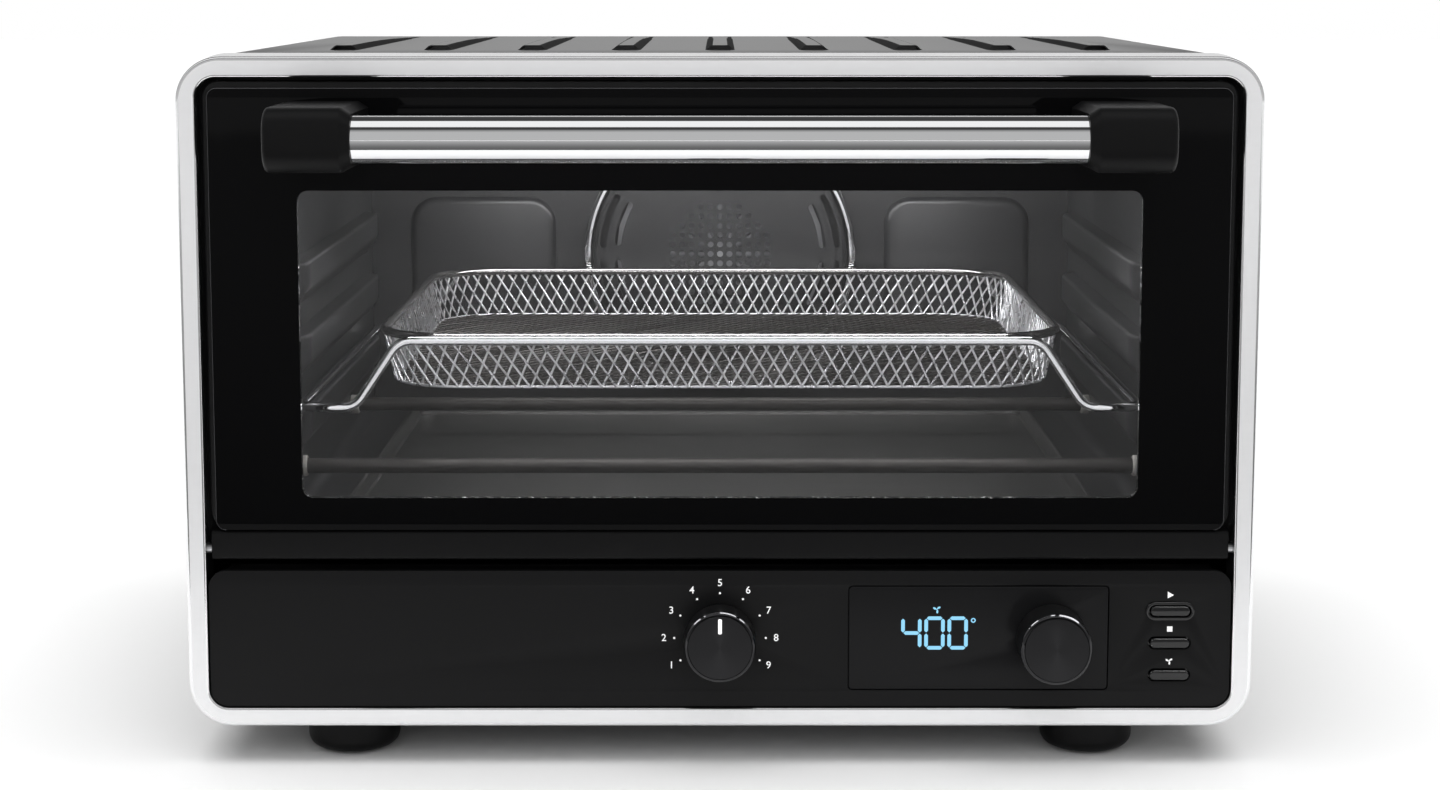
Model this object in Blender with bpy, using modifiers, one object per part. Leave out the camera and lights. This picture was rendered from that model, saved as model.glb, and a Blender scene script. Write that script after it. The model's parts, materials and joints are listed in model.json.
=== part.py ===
"""Countertop convection toaster oven with a drop-down glass door and an air-fry basket.

Metres, +Z up. X runs to the right, Y runs from the front to the back, and the origin is on the table under
the middle of the oven. A depth is measured from the front face of the trim frame towards the back.
"""

import math

import bmesh
import bpy
from mathutils import Matrix, Vector

# ---- Driving dimensions ----
CLEARANCE = 0.0003  # gap between pieces that touch
SHEET = 0.001  # outer steel sheets

BODY_WIDTH = 0.434
BODY_DEPTH = 0.337
BODY_HEIGHT = 0.2726
BODY_CORNER = 0.020
COVER_LIP = 0.010  # the cover's edges turned in under the base
FOOT_HEIGHT = 0.016

TRIM_WIDTH = 0.0082
TRIM_DEPTH = 0.0157
TRIM_FLARE = 0.0010
TRIM_EDGE = 0.001  # polished bevels on both edges of the trim

COVER_RIBS = 9
COVER_RIB_PITCH = 0.040
COVER_RIB_WIDTH = 0.0125
COVER_RIB_HEIGHT = 0.002
COVER_RIB_START = 0.082
COVER_RIB_END_GAP = 0.040
SCOOP_LENGTH = 0.014

FASCIA_HEIGHT = 0.0564
FASCIA_THICKNESS = 0.003
FASCIA_SETBACK = 0.001
FASCIA_CORNER = 0.007
SHELF_THICKNESS = 0.0018  # of the ledge behind the fascia's top edge, under the door
BOARD_DEPTH = 0.013  # front face of the control board
BOARD_THICKNESS = 0.0016
BOSS_RADIUS = 0.003

KNOB_RADIUS = 0.0145
KNOB_HEIGHT = 0.016
DIAL_HEIGHT = 0.020  # the temperature knob stands further out
KNOB_BORE = 0.010
CAP_RADIUS = 0.0125
SHAFT_RADIUS = 0.003
SWITCH_RADIUS = 0.013
SWITCH_LENGTH = 0.012
ENCODER_SIDE = 0.012

DISPLAY_WIDTH = 0.1050
DISPLAY_TOP_SPACE = 0.0065  # the knobs lie level with the display window's middle
DISPLAY_BOTTOM_SPACE = 0.0073
DISPLAY_SIDE_GAP = 0.0499  # from the right end of the fascia
DISPLAY_RECESS = 0.0022
DISPLAY_CORNER = 0.0015
DIAL_INSET = 0.0230  # from the right end of the display window to the knob's axis
SCREEN_WIDTH = 0.048
SCREEN_HEIGHT = 0.024
SCREEN_INSET = 0.010

BUTTON_INSET = 0.0247
BUTTON_PITCH = 0.0133
BUTTON_LENGTH = 0.0160
BUTTON_HEIGHT = 0.0040
BUTTON_TRAVEL = 0.0008
BUTTON_GROOVE = 0.0006
BUTTON_FLANGE = 0.0016
BUTTON_RING_WIDTH = 0.0012
BUTTON_STEM = 0.0046  # of the stem's reach behind the fascia
BUTTON_STEM_RADIUS = 0.0015
BUTTON_TOP_RISE = 0.0112  # of the top button above the knobs' axes

DOOR_GAP = 0.0044  # between the fascia and the door's bottom rail
DOOR_SIDE_GAP = 0.0016
GLASS_THICKNESS = 0.004
GLASS_INSET = 0.0026  # of the glass inside the door frame
GLASS_CORNER = 0.004
FRAME_THICKNESS = 0.008
RAIL_HEIGHT = 0.012
RAIL_SETBACK = 0.0015
WINDOW_SIDE_BORDER = 0.0352
WINDOW_TOP_BORDER = 0.0408
WINDOW_BOTTOM_BORDER = 0.0133
WINDOW_CORNER = 0.005
HINGE_DEPTH = 0.006
HINGE_RISE = 0.0040  # of the hinge axis above the rail's lower edge
PIN_RADIUS = 0.002
PIN_LENGTH = 0.016
PIN_ENGAGEMENT = 0.005  # in the trim frame

BAR_RADIUS = 0.0091
BAR_WALL = 0.0012
BAR_STANDOFF = 0.045
BAR_DROP = 0.0176  # below the top of the glass
BAR_ENGAGEMENT = 0.020
END_WIDTH = 0.033
END_HEIGHT = 0.025
END_INSET = 0.0313  # from the side edge of the glass
SCREW_RADIUS = 0.002
SCREW_HEAD_RADIUS = 0.004
SCREW_HEAD = 0.0028
SCREW_ENGAGEMENT = 0.012

LINER_SHEET = 0.001
CAVITY_SIDE_SPACE = 0.0375
CAVITY_TOP_SPACE = 0.0246
CAVITY_REAR_SPACE = 0.027
CAVITY_CORNER = 0.006
FLANGE_GAP = 0.0004
GUIDES = 3
GUIDE_SLOT = 0.0095
GUIDE_REACH = 0.008
GUIDE_BOTTOM_SPACE = 0.0215
GUIDE_TOP_SPACE = 0.0625
GUIDE_FRONT = 0.040
GUIDE_REAR_SPACE = 0.024
GUIDE_TAPER = 0.012
PANEL_WIDTH = 0.075
PANEL_RAISE = 0.003
PANEL_SIDE_SPACE = 0.020
PANEL_TOP_SPACE = 0.057
PANEL_BOTTOM_SPACE = 0.028

FAN_DROP = 0.002
FAN_COVER_MARGIN = 0.014
FAN_COVER_DEPTH = 0.012
FAN_RING_WIDTH = 0.0037
FAN_TIP_GAP = 0.012
FAN_BLADES = 12
FAN_DEPTH = 0.0075
MOTOR_RADIUS = 0.030
MOTOR_LENGTH = 0.030
MOTOR_FLANGE = 0.0025
COOLING_FAN_RADIUS = 0.038
COOLING_FAN_BLADES = 6
COOLING_FAN_DEPTH = 0.005
HOUSING_DEPTH = 0.020
HOUSING_WIDTH = 0.190
HOUSING_HEIGHT = 0.140
HOUSING_TAPER = 0.006
HOUSING_SHEET = 0.0012

HEATER_RADIUS = 0.00325
HEATER_COLLAR_RADIUS = 0.0045
HEATER_TERMINAL_RADIUS = 0.002
HEATER_FRONT = 0.062
HEATER_REAR_SPACE = 0.086
HEATER_BOTTOM_RISE = 0.0158
HEATER_TOP_DROP = 0.014

TRAY_HEIGHT = 0.0068
TRAY_SIDE_SPACE = 0.0245
TRAY_FRONT = 0.022
TRAY_REAR_SPACE = 0.025
TRAY_SHEET = 0.0008

BASKET_SIDE_SPACE = 0.0345
BASKET_FRONT = 0.038
BASKET_REAR_SPACE = 0.022
BASKET_HEIGHT = 0.0246
BASKET_TAPER = 0.006
BASKET_CORNER = 0.034
BASKET_WALL = 0.0012
BASKET_RISE = 0.006  # of its floor above the support's arms
WIRE_RADIUS = 0.002
WIRE_RISE = 0.028  # of the support's cross bars above its arms
WIRE_BEND = 0.008
WIRE_SHOULDER = 0.0185  # sideways run of the sloping ends
WIRE_ARM_GAP = 0.0055  # from the arm's axis to the cavity wall
WIRE_SIDE_GAP = 0.0120  # from the cross bar's end to the basket's side

FOOT_RADIUS = 0.019
PAD_RADIUS = 0.0155
PAD_HEIGHT = 0.004
FOOT_SIDE_SPACE = 0.064
FOOT_FRONT = 0.030
FOOT_REAR_SPACE = 0.045
STUD_RADIUS = 0.003
BASE_FLANGE = 0.012

GLAND_RADIUS = 0.008
GLAND_NECK = 0.005
GLAND_BORE = 0.0035
GLAND_SIDE_SPACE = 0.057
GLAND_RISE = 0.029

# ---- Sizes that follow from them ----
END_REACH = BAR_STANDOFF + END_HEIGHT / 2
FRONT_Y = END_REACH - (END_REACH + BODY_DEPTH + HOUSING_DEPTH) / 2
BASE_Z = FOOT_HEIGHT
COVER_Z = BASE_Z + BODY_HEIGHT
COVER_X = BODY_WIDTH / 2
BACK_DEPTH = BODY_DEPTH - SHEET

TRIM_X = COVER_X - TRIM_EDGE
OPENING_X = TRIM_X - TRIM_WIDTH
OPENING_LOW = BASE_Z + CLEARANCE + TRIM_WIDTH - 0.0005
OPENING_HIGH = COVER_Z - CLEARANCE - TRIM_WIDTH

FASCIA_X = OPENING_X - 0.0005
FASCIA_LOW = OPENING_LOW + 0.0004
FASCIA_HIGH = FASCIA_LOW + FASCIA_HEIGHT
FASCIA_BACK = FASCIA_SETBACK + FASCIA_THICKNESS
DISPLAY_LOW = FASCIA_LOW + DISPLAY_BOTTOM_SPACE
DISPLAY_HIGH = FASCIA_HIGH - DISPLAY_TOP_SPACE
KNOB_Z = (DISPLAY_LOW + DISPLAY_HIGH) / 2
DISPLAY_RIGHT = FASCIA_X - DISPLAY_SIDE_GAP
DISPLAY_LEFT = DISPLAY_RIGHT - DISPLAY_WIDTH
DIAL_X = DISPLAY_RIGHT - DIAL_INSET
BUTTON_X = FASCIA_X - BUTTON_INSET

RAIL_LOW = FASCIA_HIGH + DOOR_GAP
RAIL_HIGH = RAIL_LOW + RAIL_HEIGHT
FRAME_X = OPENING_X - DOOR_SIDE_GAP
FRAME_LOW = RAIL_HIGH + CLEARANCE
FRAME_HIGH = OPENING_HIGH - DOOR_SIDE_GAP
GLASS_X = FRAME_X - GLASS_INSET
GLASS_HIGH = FRAME_HIGH - GLASS_INSET
GLASS_BACK = FASCIA_SETBACK + GLASS_THICKNESS
FRAME_FRONT = GLASS_BACK + CLEARANCE
FRAME_BACK = FRAME_FRONT + FRAME_THICKNESS
WINDOW_X = GLASS_X - WINDOW_SIDE_BORDER
WINDOW_LOW = FRAME_LOW + WINDOW_BOTTOM_BORDER
WINDOW_HIGH = GLASS_HIGH - WINDOW_TOP_BORDER
HINGE_Z = RAIL_LOW + HINGE_RISE
BAR_Z = GLASS_HIGH - BAR_DROP
END_OUTER_X = GLASS_X - END_INSET
END_INNER_X = END_OUTER_X - END_WIDTH
END_MIDDLE_X = (END_OUTER_X + END_INNER_X) / 2

FLANGE_FRONT = TRIM_DEPTH + CLEARANCE
FLANGE_BACK = FLANGE_FRONT + LINER_SHEET
CAVITY_X = COVER_X - CAVITY_SIDE_SPACE
CAVITY_LOW = RAIL_HIGH - 0.0002
CAVITY_HIGH = COVER_Z - CAVITY_TOP_SPACE
CAVITY_BACK = BODY_DEPTH - CAVITY_REAR_SPACE
GUIDE_LOW = CAVITY_LOW + GUIDE_BOTTOM_SPACE
GUIDE_HIGH = CAVITY_HIGH - GUIDE_TOP_SPACE
GUIDE_HEIGHT = (GUIDE_HIGH - GUIDE_LOW - (GUIDES - 1) * GUIDE_SLOT) / GUIDES

FAN_Z = (CAVITY_LOW + CAVITY_HIGH) / 2 - FAN_DROP
FAN_COVER_RADIUS = (CAVITY_HIGH - CAVITY_LOW) / 2 - FAN_COVER_MARGIN
FAN_DISH_RADIUS = FAN_COVER_RADIUS - FAN_RING_WIDTH - CLEARANCE
FAN_RADIUS = FAN_DISH_RADIUS - FAN_TIP_GAP
FAN_FRONT = CAVITY_BACK - FAN_COVER_DEPTH
HOUSING_BACK = BODY_DEPTH + HOUSING_DEPTH

HEATER_REAR = CAVITY_BACK - HEATER_REAR_SPACE
HEATER_LOW_Z = CAVITY_LOW + HEATER_BOTTOM_RISE
HEATER_HIGH_Z = CAVITY_HIGH - HEATER_TOP_DROP

ARM_Z = GUIDE_LOW + GUIDE_HEIGHT + CLEARANCE + WIRE_RADIUS
BASKET_X = CAVITY_X - BASKET_SIDE_SPACE
BASKET_BACK = CAVITY_BACK - BASKET_REAR_SPACE
BASKET_LOW = ARM_Z + BASKET_RISE
BASKET_HIGH = BASKET_LOW + BASKET_HEIGHT

# colour, roughness, metallic
FINISHES = {
    "trim": ((0.72, 0.72, 0.73), 0.30, 1.0),
    "chrome": ((0.85, 0.85, 0.86), 0.08, 1.0),
    "steel": ((0.62, 0.62, 0.63), 0.28, 1.0),
    "black_paint": ((0.035, 0.035, 0.037), 0.50, 0.0),
    "black_plastic": ((0.012, 0.012, 0.013), 0.45, 0.0),
    "gloss_black": ((0.008, 0.008, 0.009), 0.10, 0.0),
    "glass": ((0.02, 0.02, 0.022), 0.02, 0.0),
    "enamel": ((0.045, 0.046, 0.048), 0.32, 0.0),
    "ceramic": ((0.30, 0.29, 0.28), 0.60, 0.0),
    "aluminium": ((0.60, 0.60, 0.62), 0.35, 1.0),
    "spun_metal": ((0.10, 0.10, 0.11), 0.25, 1.0),
    "rubber": ((0.015, 0.015, 0.015), 0.80, 0.0),
    "board": ((0.02, 0.10, 0.04), 0.50, 0.0),
}


# ---- Scene and helpers ----
def clear_scene():
    for obj in list(bpy.data.objects):
        bpy.data.objects.remove(obj, do_unlink=True)


def new_collection(name):
    collection = bpy.data.collections.new(name)
    bpy.context.scene.collection.children.link(collection)
    return collection


clear_scene()
PARTS = new_collection("toaster_oven")
CUTTERS = new_collection("cutters")


def at(depth):
    """The Y of a point this far behind the trim's front face."""
    return FRONT_Y + depth


def finish(obj, name):
    """Gives the piece its own material."""
    colour, roughness, metallic = FINISHES[name]
    made = bpy.data.materials.new(obj.name + "_finish")
    made.use_nodes = True
    shader = made.node_tree.nodes["Principled BSDF"]
    shader.inputs["Base Color"].default_value = (*colour, 1.0)
    shader.inputs["Roughness"].default_value = roughness
    shader.inputs["Metallic"].default_value = metallic
    made.diffuse_color = (*colour, 1.0)
    obj.data.materials.clear()
    obj.data.materials.append(made)
    return obj


def helper(obj):
    """Turns an object into a cutter or a shape to be joined, which is no piece of the oven."""
    for collection in list(obj.users_collection):
        collection.objects.unlink(obj)
    CUTTERS.objects.link(obj)
    obj.hide_render = True
    obj.display_type = "WIRE"
    return obj


def from_bmesh(name, bm):
    bmesh.ops.recalc_face_normals(bm, faces=bm.faces)
    mesh = bpy.data.meshes.new(name)
    bm.to_mesh(mesh)
    bm.free()
    obj = bpy.data.objects.new(name, mesh)
    PARTS.objects.link(obj)
    return obj


def add_block(bm, low, high, turn=None):
    """A cuboid between two corners, turned about the Y axis through a point when turn is (point, angle)."""
    low, high = Vector(low), Vector(high)
    size = high - low
    place = Matrix.Translation((low + high) / 2) @ Matrix.Diagonal((*size, 1.0))
    if turn:
        point, angle = Vector(turn[0]), turn[1]
        about = Matrix.Translation(point) @ Matrix.Rotation(angle, 4, "Y")
        place = about @ Matrix.Translation(-point) @ place
    bmesh.ops.create_cube(bm, size=1.0, matrix=place)


def add_rod(bm, start, end, radius, segments=24):
    start, end = Vector(start), Vector(end)
    along = end - start
    place = Matrix.Translation((start + end) / 2) @ along.to_track_quat("Z", "Y").to_matrix().to_4x4()
    bmesh.ops.create_cone(
        bm,
        cap_ends=True,
        segments=segments,
        radius1=radius,
        radius2=radius,
        depth=along.length,
        matrix=place,
    )


def blocks(name, corners):
    bm = bmesh.new()
    for low, high in corners:
        add_block(bm, low, high)
    return from_bmesh(name, bm)


def rods(name, ends, radius, segments=24):
    bm = bmesh.new()
    for start, end in ends:
        add_rod(bm, start, end, radius, segments)
    return from_bmesh(name, bm)


def to_mesh(obj):
    """The curve as a mesh with its caps welded, so that it can take a Boolean."""
    bpy.context.view_layer.update()
    graph = bpy.context.evaluated_depsgraph_get()
    mesh = bpy.data.meshes.new_from_object(obj.evaluated_get(graph))
    bm = bmesh.new()
    bm.from_mesh(mesh)
    bmesh.ops.remove_doubles(bm, verts=bm.verts, dist=1e-6)
    bm.to_mesh(mesh)
    bm.free()
    name = obj.name
    place = obj.matrix_world.copy()
    bpy.data.objects.remove(obj, do_unlink=True)
    made = bpy.data.objects.new(name, mesh)
    made.matrix_world = place
    PARTS.objects.link(made)
    return made


def combine(obj, other, operation):
    modifier = obj.modifiers.new(other.name, "BOOLEAN")
    modifier.solver = "EXACT"
    modifier.operation = operation
    modifier.object = helper(other)
    return obj


def cut(obj, other):
    return combine(obj, other, "DIFFERENCE")


def join(obj, other):
    return combine(obj, other, "UNION")


def round_edges(obj, width, segments=2):
    modifier = obj.modifiers.new("round", "BEVEL")
    modifier.width = width
    modifier.segments = segments
    modifier.limit_method = "ANGLE"
    modifier.angle_limit = math.radians(50)
    return obj


def smooth(obj):
    obj.data.shade_smooth()
    obj.data.set_sharp_from_angle(angle=math.radians(35))
    return obj


def corner_arc(centre_a, centre_b, radius, first, segments):
    """The points of a quarter turn, from the angle first, in radians."""
    points = []
    for step in range(segments + 1):
        angle = first + step * math.pi / 2 / segments
        points.append((centre_a + radius * math.cos(angle), centre_b + radius * math.sin(angle)))
    return points


def rounded(low_a, high_a, low_b, high_b, radius, segments=4):
    """A rectangle with round corners, anticlockwise."""
    quarter = math.pi / 2
    return (
        corner_arc(high_a - radius, high_b - radius, radius, 0, segments)
        + corner_arc(low_a + radius, high_b - radius, radius, quarter, segments)
        + corner_arc(low_a + radius, low_b + radius, radius, 2 * quarter, segments)
        + corner_arc(high_a - radius, low_b + radius, radius, 3 * quarter, segments)
    )


def circle(a, b, radius, segments=24):
    turn = 2 * math.pi / segments
    return [(a + radius * math.cos(i * turn), b + radius * math.sin(i * turn)) for i in range(segments)]


# Rotations that lay a plate's outline across an axis: the outline's plane is XZ, XY or YZ.
FACING = {
    "Y": Matrix(((1, 0, 0), (0, 0, -1), (0, 1, 0))).to_4x4(),
    "Z": Matrix.Identity(4),
    "X": Matrix(((0, 0, 1), (1, 0, 0), (0, 1, 0))).to_4x4(),
}


def plate(name, outlines, low, high, axis="Y"):
    """A flat outline, with the further outlines as holes in it, from low to high along the axis."""
    curve = bpy.data.curves.new(name, "CURVE")
    curve.dimensions = "2D"
    curve.fill_mode = "BOTH"
    curve.extrude = (high - low) / 2
    for outline in outlines:
        spline = curve.splines.new("POLY")
        spline.points.add(len(outline) - 1)
        for point, (a, b) in zip(spline.points, outline):
            point.co = (a, b, 0, 1)
        spline.use_cyclic_u = True
    obj = bpy.data.objects.new(name, curve)
    middle = Vector((0, 0, 0))
    middle["XYZ".index(axis)] = (low + high) / 2
    obj.matrix_world = Matrix.Translation(middle) @ FACING[axis]
    PARTS.objects.link(obj)
    return obj


AIM = {
    "front": Matrix.Rotation(math.pi / 2, 4, "X"),
    "back": Matrix.Rotation(-math.pi / 2, 4, "X"),
    "right": Matrix.Rotation(math.pi / 2, 4, "Y"),
    "up": Matrix.Identity(4),
}


def turned(name, profile, centre, aim="up", steps=32, ring=False):
    """A profile of (radius, height), from its top down its outer side, turned about an axis through centre.

    Heights are measured along the way the axis aims. A ring's profile is a closed loop clear of the axis.
    """
    mesh = bpy.data.meshes.new(name)
    count = len(profile)
    edges = [(i, i + 1) for i in range(count - 1)]
    if ring:
        edges.append((count - 1, 0))
    mesh.from_pydata([(radius, 0, height) for radius, height in profile], edges, [])
    obj = bpy.data.objects.new(name, mesh)
    obj.matrix_world = Matrix.Translation(centre) @ AIM[aim]
    PARTS.objects.link(obj)
    screw = obj.modifiers.new("turn", "SCREW")
    screw.steps = steps
    screw.render_steps = steps
    screw.use_merge_vertices = True
    screw.merge_threshold = 0.00001
    screw.use_smooth_shade = True
    return obj


def loft(name, loops, closed=False):
    """A skin through loops of equally many points, capped at both ends or closed into a ring."""
    bm = bmesh.new()
    rows = [[bm.verts.new(point) for point in loop] for loop in loops]
    pairs = list(zip(rows, rows[1:]))
    if closed:
        pairs.append((rows[-1], rows[0]))
    else:
        bm.faces.new(rows[0])
        bm.faces.new(rows[-1])
    for first, second in pairs:
        count = len(first)
        for i in range(count):
            bm.faces.new((first[i], first[(i + 1) % count], second[(i + 1) % count], second[i]))
    return from_bmesh(name, bm)


def upright(outline, depth):
    """An outline across Y at this depth."""
    return [(x, at(depth), z) for x, z in outline]


def level(outline, z):
    """An outline across Z at this height, its second coordinates given as depths."""
    return [(x, at(depth), z) for x, depth in outline]


def filleted(points, radius, segments):
    """The closed path through these points with each corner rounded."""
    path = []
    count = len(points)
    for i in range(count):
        before, here, after = points[i - 1], points[i], points[(i + 1) % count]
        arrive = (here - before).normalized()
        leave = (after - here).normalized()
        turn = arrive.angle(leave)
        trim = radius * math.tan(turn / 2)
        start, end = here - arrive * trim, here + leave * trim
        for step in range(segments + 1):
            t = step / segments
            path.append((1 - t) ** 2 * start + 2 * t * (1 - t) * here + t**2 * end)
    return path


def pivot(name, place):
    """An empty on a joint's axis, which its moving pieces hang from."""
    empty = bpy.data.objects.new(name, None)
    empty.location = place
    empty.empty_display_size = 0.02
    PARTS.objects.link(empty)
    bpy.context.view_layer.update()
    return empty


def hang(pieces, empty):
    for piece in pieces:
        piece.parent = empty
        piece.matrix_parent_inverse = empty.matrix_world.inverted()


def hinge_rods(name, inner, outer, radius):
    """A rod on the hinge axis at either side, from one distance off the middle to another."""
    depth = at(HINGE_DEPTH)
    ends = [((side * inner, depth, HINGE_Z), (side * outer, depth, HINGE_Z)) for side in (-1, 1)]
    return rods(name, ends, radius, 16)


# ---- Outer body ----
def front_trim_frame():
    """The bright surround of the front, bevelled on both edges and flared towards the back."""

    def ring(grow, depth, corner, inner):
        if inner:
            outline = rounded(
                -OPENING_X - grow,
                OPENING_X + grow,
                OPENING_LOW - grow,
                OPENING_HIGH + grow,
                corner,
                6,
            )
        else:
            outline = rounded(
                -TRIM_X - grow,
                TRIM_X + grow,
                BASE_Z + CLEARANCE - min(grow, 0.0),
                COVER_Z - CLEARANCE + grow,
                corner,
                6,
            )
        return upright(outline, depth)

    outer_corner = BODY_CORNER - 2 * TRIM_EDGE
    frame = loft(
        "front_trim_frame",
        [
            ring(0.0, TRIM_DEPTH, FASCIA_CORNER + 0.001, True),
            ring(0.0, TRIM_EDGE, FASCIA_CORNER + 0.001, True),
            ring(TRIM_EDGE, 0.0, FASCIA_CORNER + 0.002, True),
            ring(-TRIM_EDGE, 0.0, outer_corner - TRIM_EDGE, False),
            ring(0.0, TRIM_EDGE, outer_corner, False),
            ring(TRIM_FLARE, TRIM_DEPTH - TRIM_EDGE, BODY_CORNER, False),
            ring(TRIM_FLARE, TRIM_DEPTH, BODY_CORNER, False),
        ],
        closed=True,
    )
    bore = OPENING_X + PIN_ENGAGEMENT + CLEARANCE
    cutter = hinge_rods("trim_pin_bores", OPENING_X - 0.002, bore, PIN_RADIUS + CLEARANCE)
    return finish(cut(frame, cutter), "trim")


def rib_outline(x, base, inset=0.0, top=COVER_RIB_HEIGHT):
    """The cross-section of one rib of the top, flat on top with sloping shoulders."""
    half = COVER_RIB_WIDTH / 2 - inset
    shoulder = half - 0.0022 + inset * 0.4
    return [
        (x - half, base),
        (x + half, base),
        (x + half, COVER_Z + top * 0.35),
        (x + shoulder, COVER_Z + top),
        (x - shoulder, COVER_Z + top),
        (x - half, COVER_Z + top * 0.35),
    ]


def wrap_cover():
    """The sheet round the top and both sides, with raised ribs that open forward as air scoops."""
    x, low, high = COVER_X - BODY_CORNER, BASE_Z + BODY_CORNER, COVER_Z - BODY_CORNER
    half = math.pi / 2

    def path(radius):
        """Round the four corners, from the right-hand lip under the base to the left-hand one."""
        points = [(x - COVER_LIP, low - radius)]
        points += corner_arc(x, low, radius, 3 * half, 6) + corner_arc(x, high, radius, 0, 6)
        points += corner_arc(-x, high, radius, half, 6) + corner_arc(-x, low, radius, 2 * half, 6)
        return points + [(COVER_LIP - x, low - radius)]

    outline = path(BODY_CORNER) + path(BODY_CORNER - SHEET)[::-1]
    start, end = at(TRIM_DEPTH + CLEARANCE), at(BACK_DEPTH - CLEARANCE)
    cover = to_mesh(plate("wrap_cover", [outline], start, end))
    centres = [(i - (COVER_RIBS - 1) / 2) * COVER_RIB_PITCH for i in range(COVER_RIBS)]
    base = COVER_Z - SHEET / 2
    ribs = plate(
        "cover_ribs",
        [rib_outline(x, base) for x in centres],
        at(COVER_RIB_START),
        at(BACK_DEPTH - COVER_RIB_END_GAP),
    )
    join(cover, to_mesh(ribs))
    scoops = plate(
        "cover_scoops",
        [rib_outline(x, COVER_Z - 2 * SHEET, SHEET, COVER_RIB_HEIGHT - 0.0006) for x in centres],
        at(COVER_RIB_START - 0.001),
        at(COVER_RIB_START + SCOOP_LENGTH),
    )
    return finish(cut(cover, to_mesh(scoops)), "black_paint")


def foot_places():
    x = COVER_X - FOOT_SIDE_SPACE
    depths = (FOOT_FRONT, BODY_DEPTH - FOOT_REAR_SPACE)
    return {
        "front_left": (-x, depths[0]),
        "front_right": (x, depths[0]),
        "rear_left": (-x, depths[1]),
        "rear_right": (x, depths[1]),
    }


def base_pan():
    """The bottom sheet between the cover's lips, with upturned sides, vent slots and the feet's holes."""
    outer = COVER_X - BODY_CORNER - COVER_LIP - CLEARANCE
    low, high = BASE_Z, BASE_Z + SHEET
    rim = BASE_Z + BASE_FLANGE
    inside = outer - SHEET
    outline = [(outer, low), (outer, rim), (inside, rim), (inside, high)]
    outline += [(-inside, high), (-inside, rim), (-outer, rim), (-outer, low)]
    start, end = at(TRIM_DEPTH + 0.002), at(BACK_DEPTH - CLEARANCE)
    pan = to_mesh(plate("base_pan", [outline], start, end))
    bm = bmesh.new()
    slots, slot_pitch, slot_width, slot_length = 9, 0.014, 0.004, 0.050
    for i in range(slots):
        x = (i - (slots - 1) / 2) * slot_pitch
        for middle in (BODY_DEPTH * 0.38, BODY_DEPTH * 0.72):
            add_block(
                bm,
                (x - slot_width / 2, at(middle - slot_length / 2), low - 0.001),
                (x + slot_width / 2, at(middle + slot_length / 2), high + 0.001),
            )
    for x, depth in foot_places().values():
        start, end = (x, at(depth), low - 0.001), (x, at(depth), high + 0.001)
        add_rod(bm, start, end, STUD_RADIUS + CLEARANCE, 16)
    return finish(cut(pan, from_bmesh("base_openings", bm)), "black_paint")


def back_panel():
    """The rear sheet, with louvre slots, the motor's opening and the cord's hole."""
    side = COVER_X - CLEARANCE
    outline = rounded(-side, side, BASE_Z + CLEARANCE, COVER_Z - CLEARANCE, BODY_CORNER - CLEARANCE, 6)
    opening_x = HOUSING_WIDTH / 2 - 0.014
    opening_z = HOUSING_HEIGHT / 2 - 0.014
    holes = [rounded(-opening_x, opening_x, FAN_Z - opening_z, FAN_Z + opening_z, 0.008)]
    slot_length, slot_height, slot_pitch, rows = 0.060, 0.004, 0.0125, 8
    for side_x in (-1, 1):
        middle = side_x * (HOUSING_WIDTH / 2 + COVER_X) / 2
        for row in range(rows):
            z = FAN_Z + (row - (rows - 1) / 2) * slot_pitch
            half = slot_length / 2
            holes.append(
                rounded(
                    middle - half,
                    middle + half,
                    z - slot_height / 2,
                    z + slot_height / 2,
                    slot_height * 0.4,
                    1,
                )
            )
    gland_x, gland_z = COVER_X - GLAND_SIDE_SPACE, BASE_Z + GLAND_RISE
    holes.append(circle(gland_x, gland_z, GLAND_NECK + CLEARANCE, 20))
    panel = plate("back_panel", [outline] + holes, at(BACK_DEPTH), at(BODY_DEPTH))
    return finish(panel, "black_paint")


def rear_fan_housing():
    """The pressed cover over the motor's cooling fan, open towards the body and slotted at the back."""

    def outline(shrink):
        return rounded(
            -HOUSING_WIDTH / 2 + shrink,
            HOUSING_WIDTH / 2 - shrink,
            FAN_Z - HOUSING_HEIGHT / 2 + shrink,
            FAN_Z + HOUSING_HEIGHT / 2 - shrink,
            0.010,
            4,
        )

    front = BODY_DEPTH + CLEARANCE
    wall = HOUSING_SHEET
    shell = loft(
        "rear_fan_housing",
        [
            upright(outline(HOUSING_TAPER), HOUSING_BACK),
            upright(outline(0.0), front),
            upright(outline(wall), front),
            upright(outline(HOUSING_TAPER + wall), HOUSING_BACK - wall),
        ],
    )
    rows, pitch, height = 9, 0.011, 0.0045
    half = HOUSING_WIDTH / 2 - 0.026
    corners = []
    for row in range(rows):
        z = FAN_Z + (row - (rows - 1) / 2) * pitch
        for side in (-1, 1):
            inner, outer = side * 0.006, side * half
            corners.append(
                (
                    (min(inner, outer), at(HOUSING_BACK - 0.003), z - height / 2),
                    (max(inner, outer), at(HOUSING_BACK + 0.001), z + height / 2),
                )
            )
    return finish(cut(shell, blocks("housing_slots", corners)), "black_paint")


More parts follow.
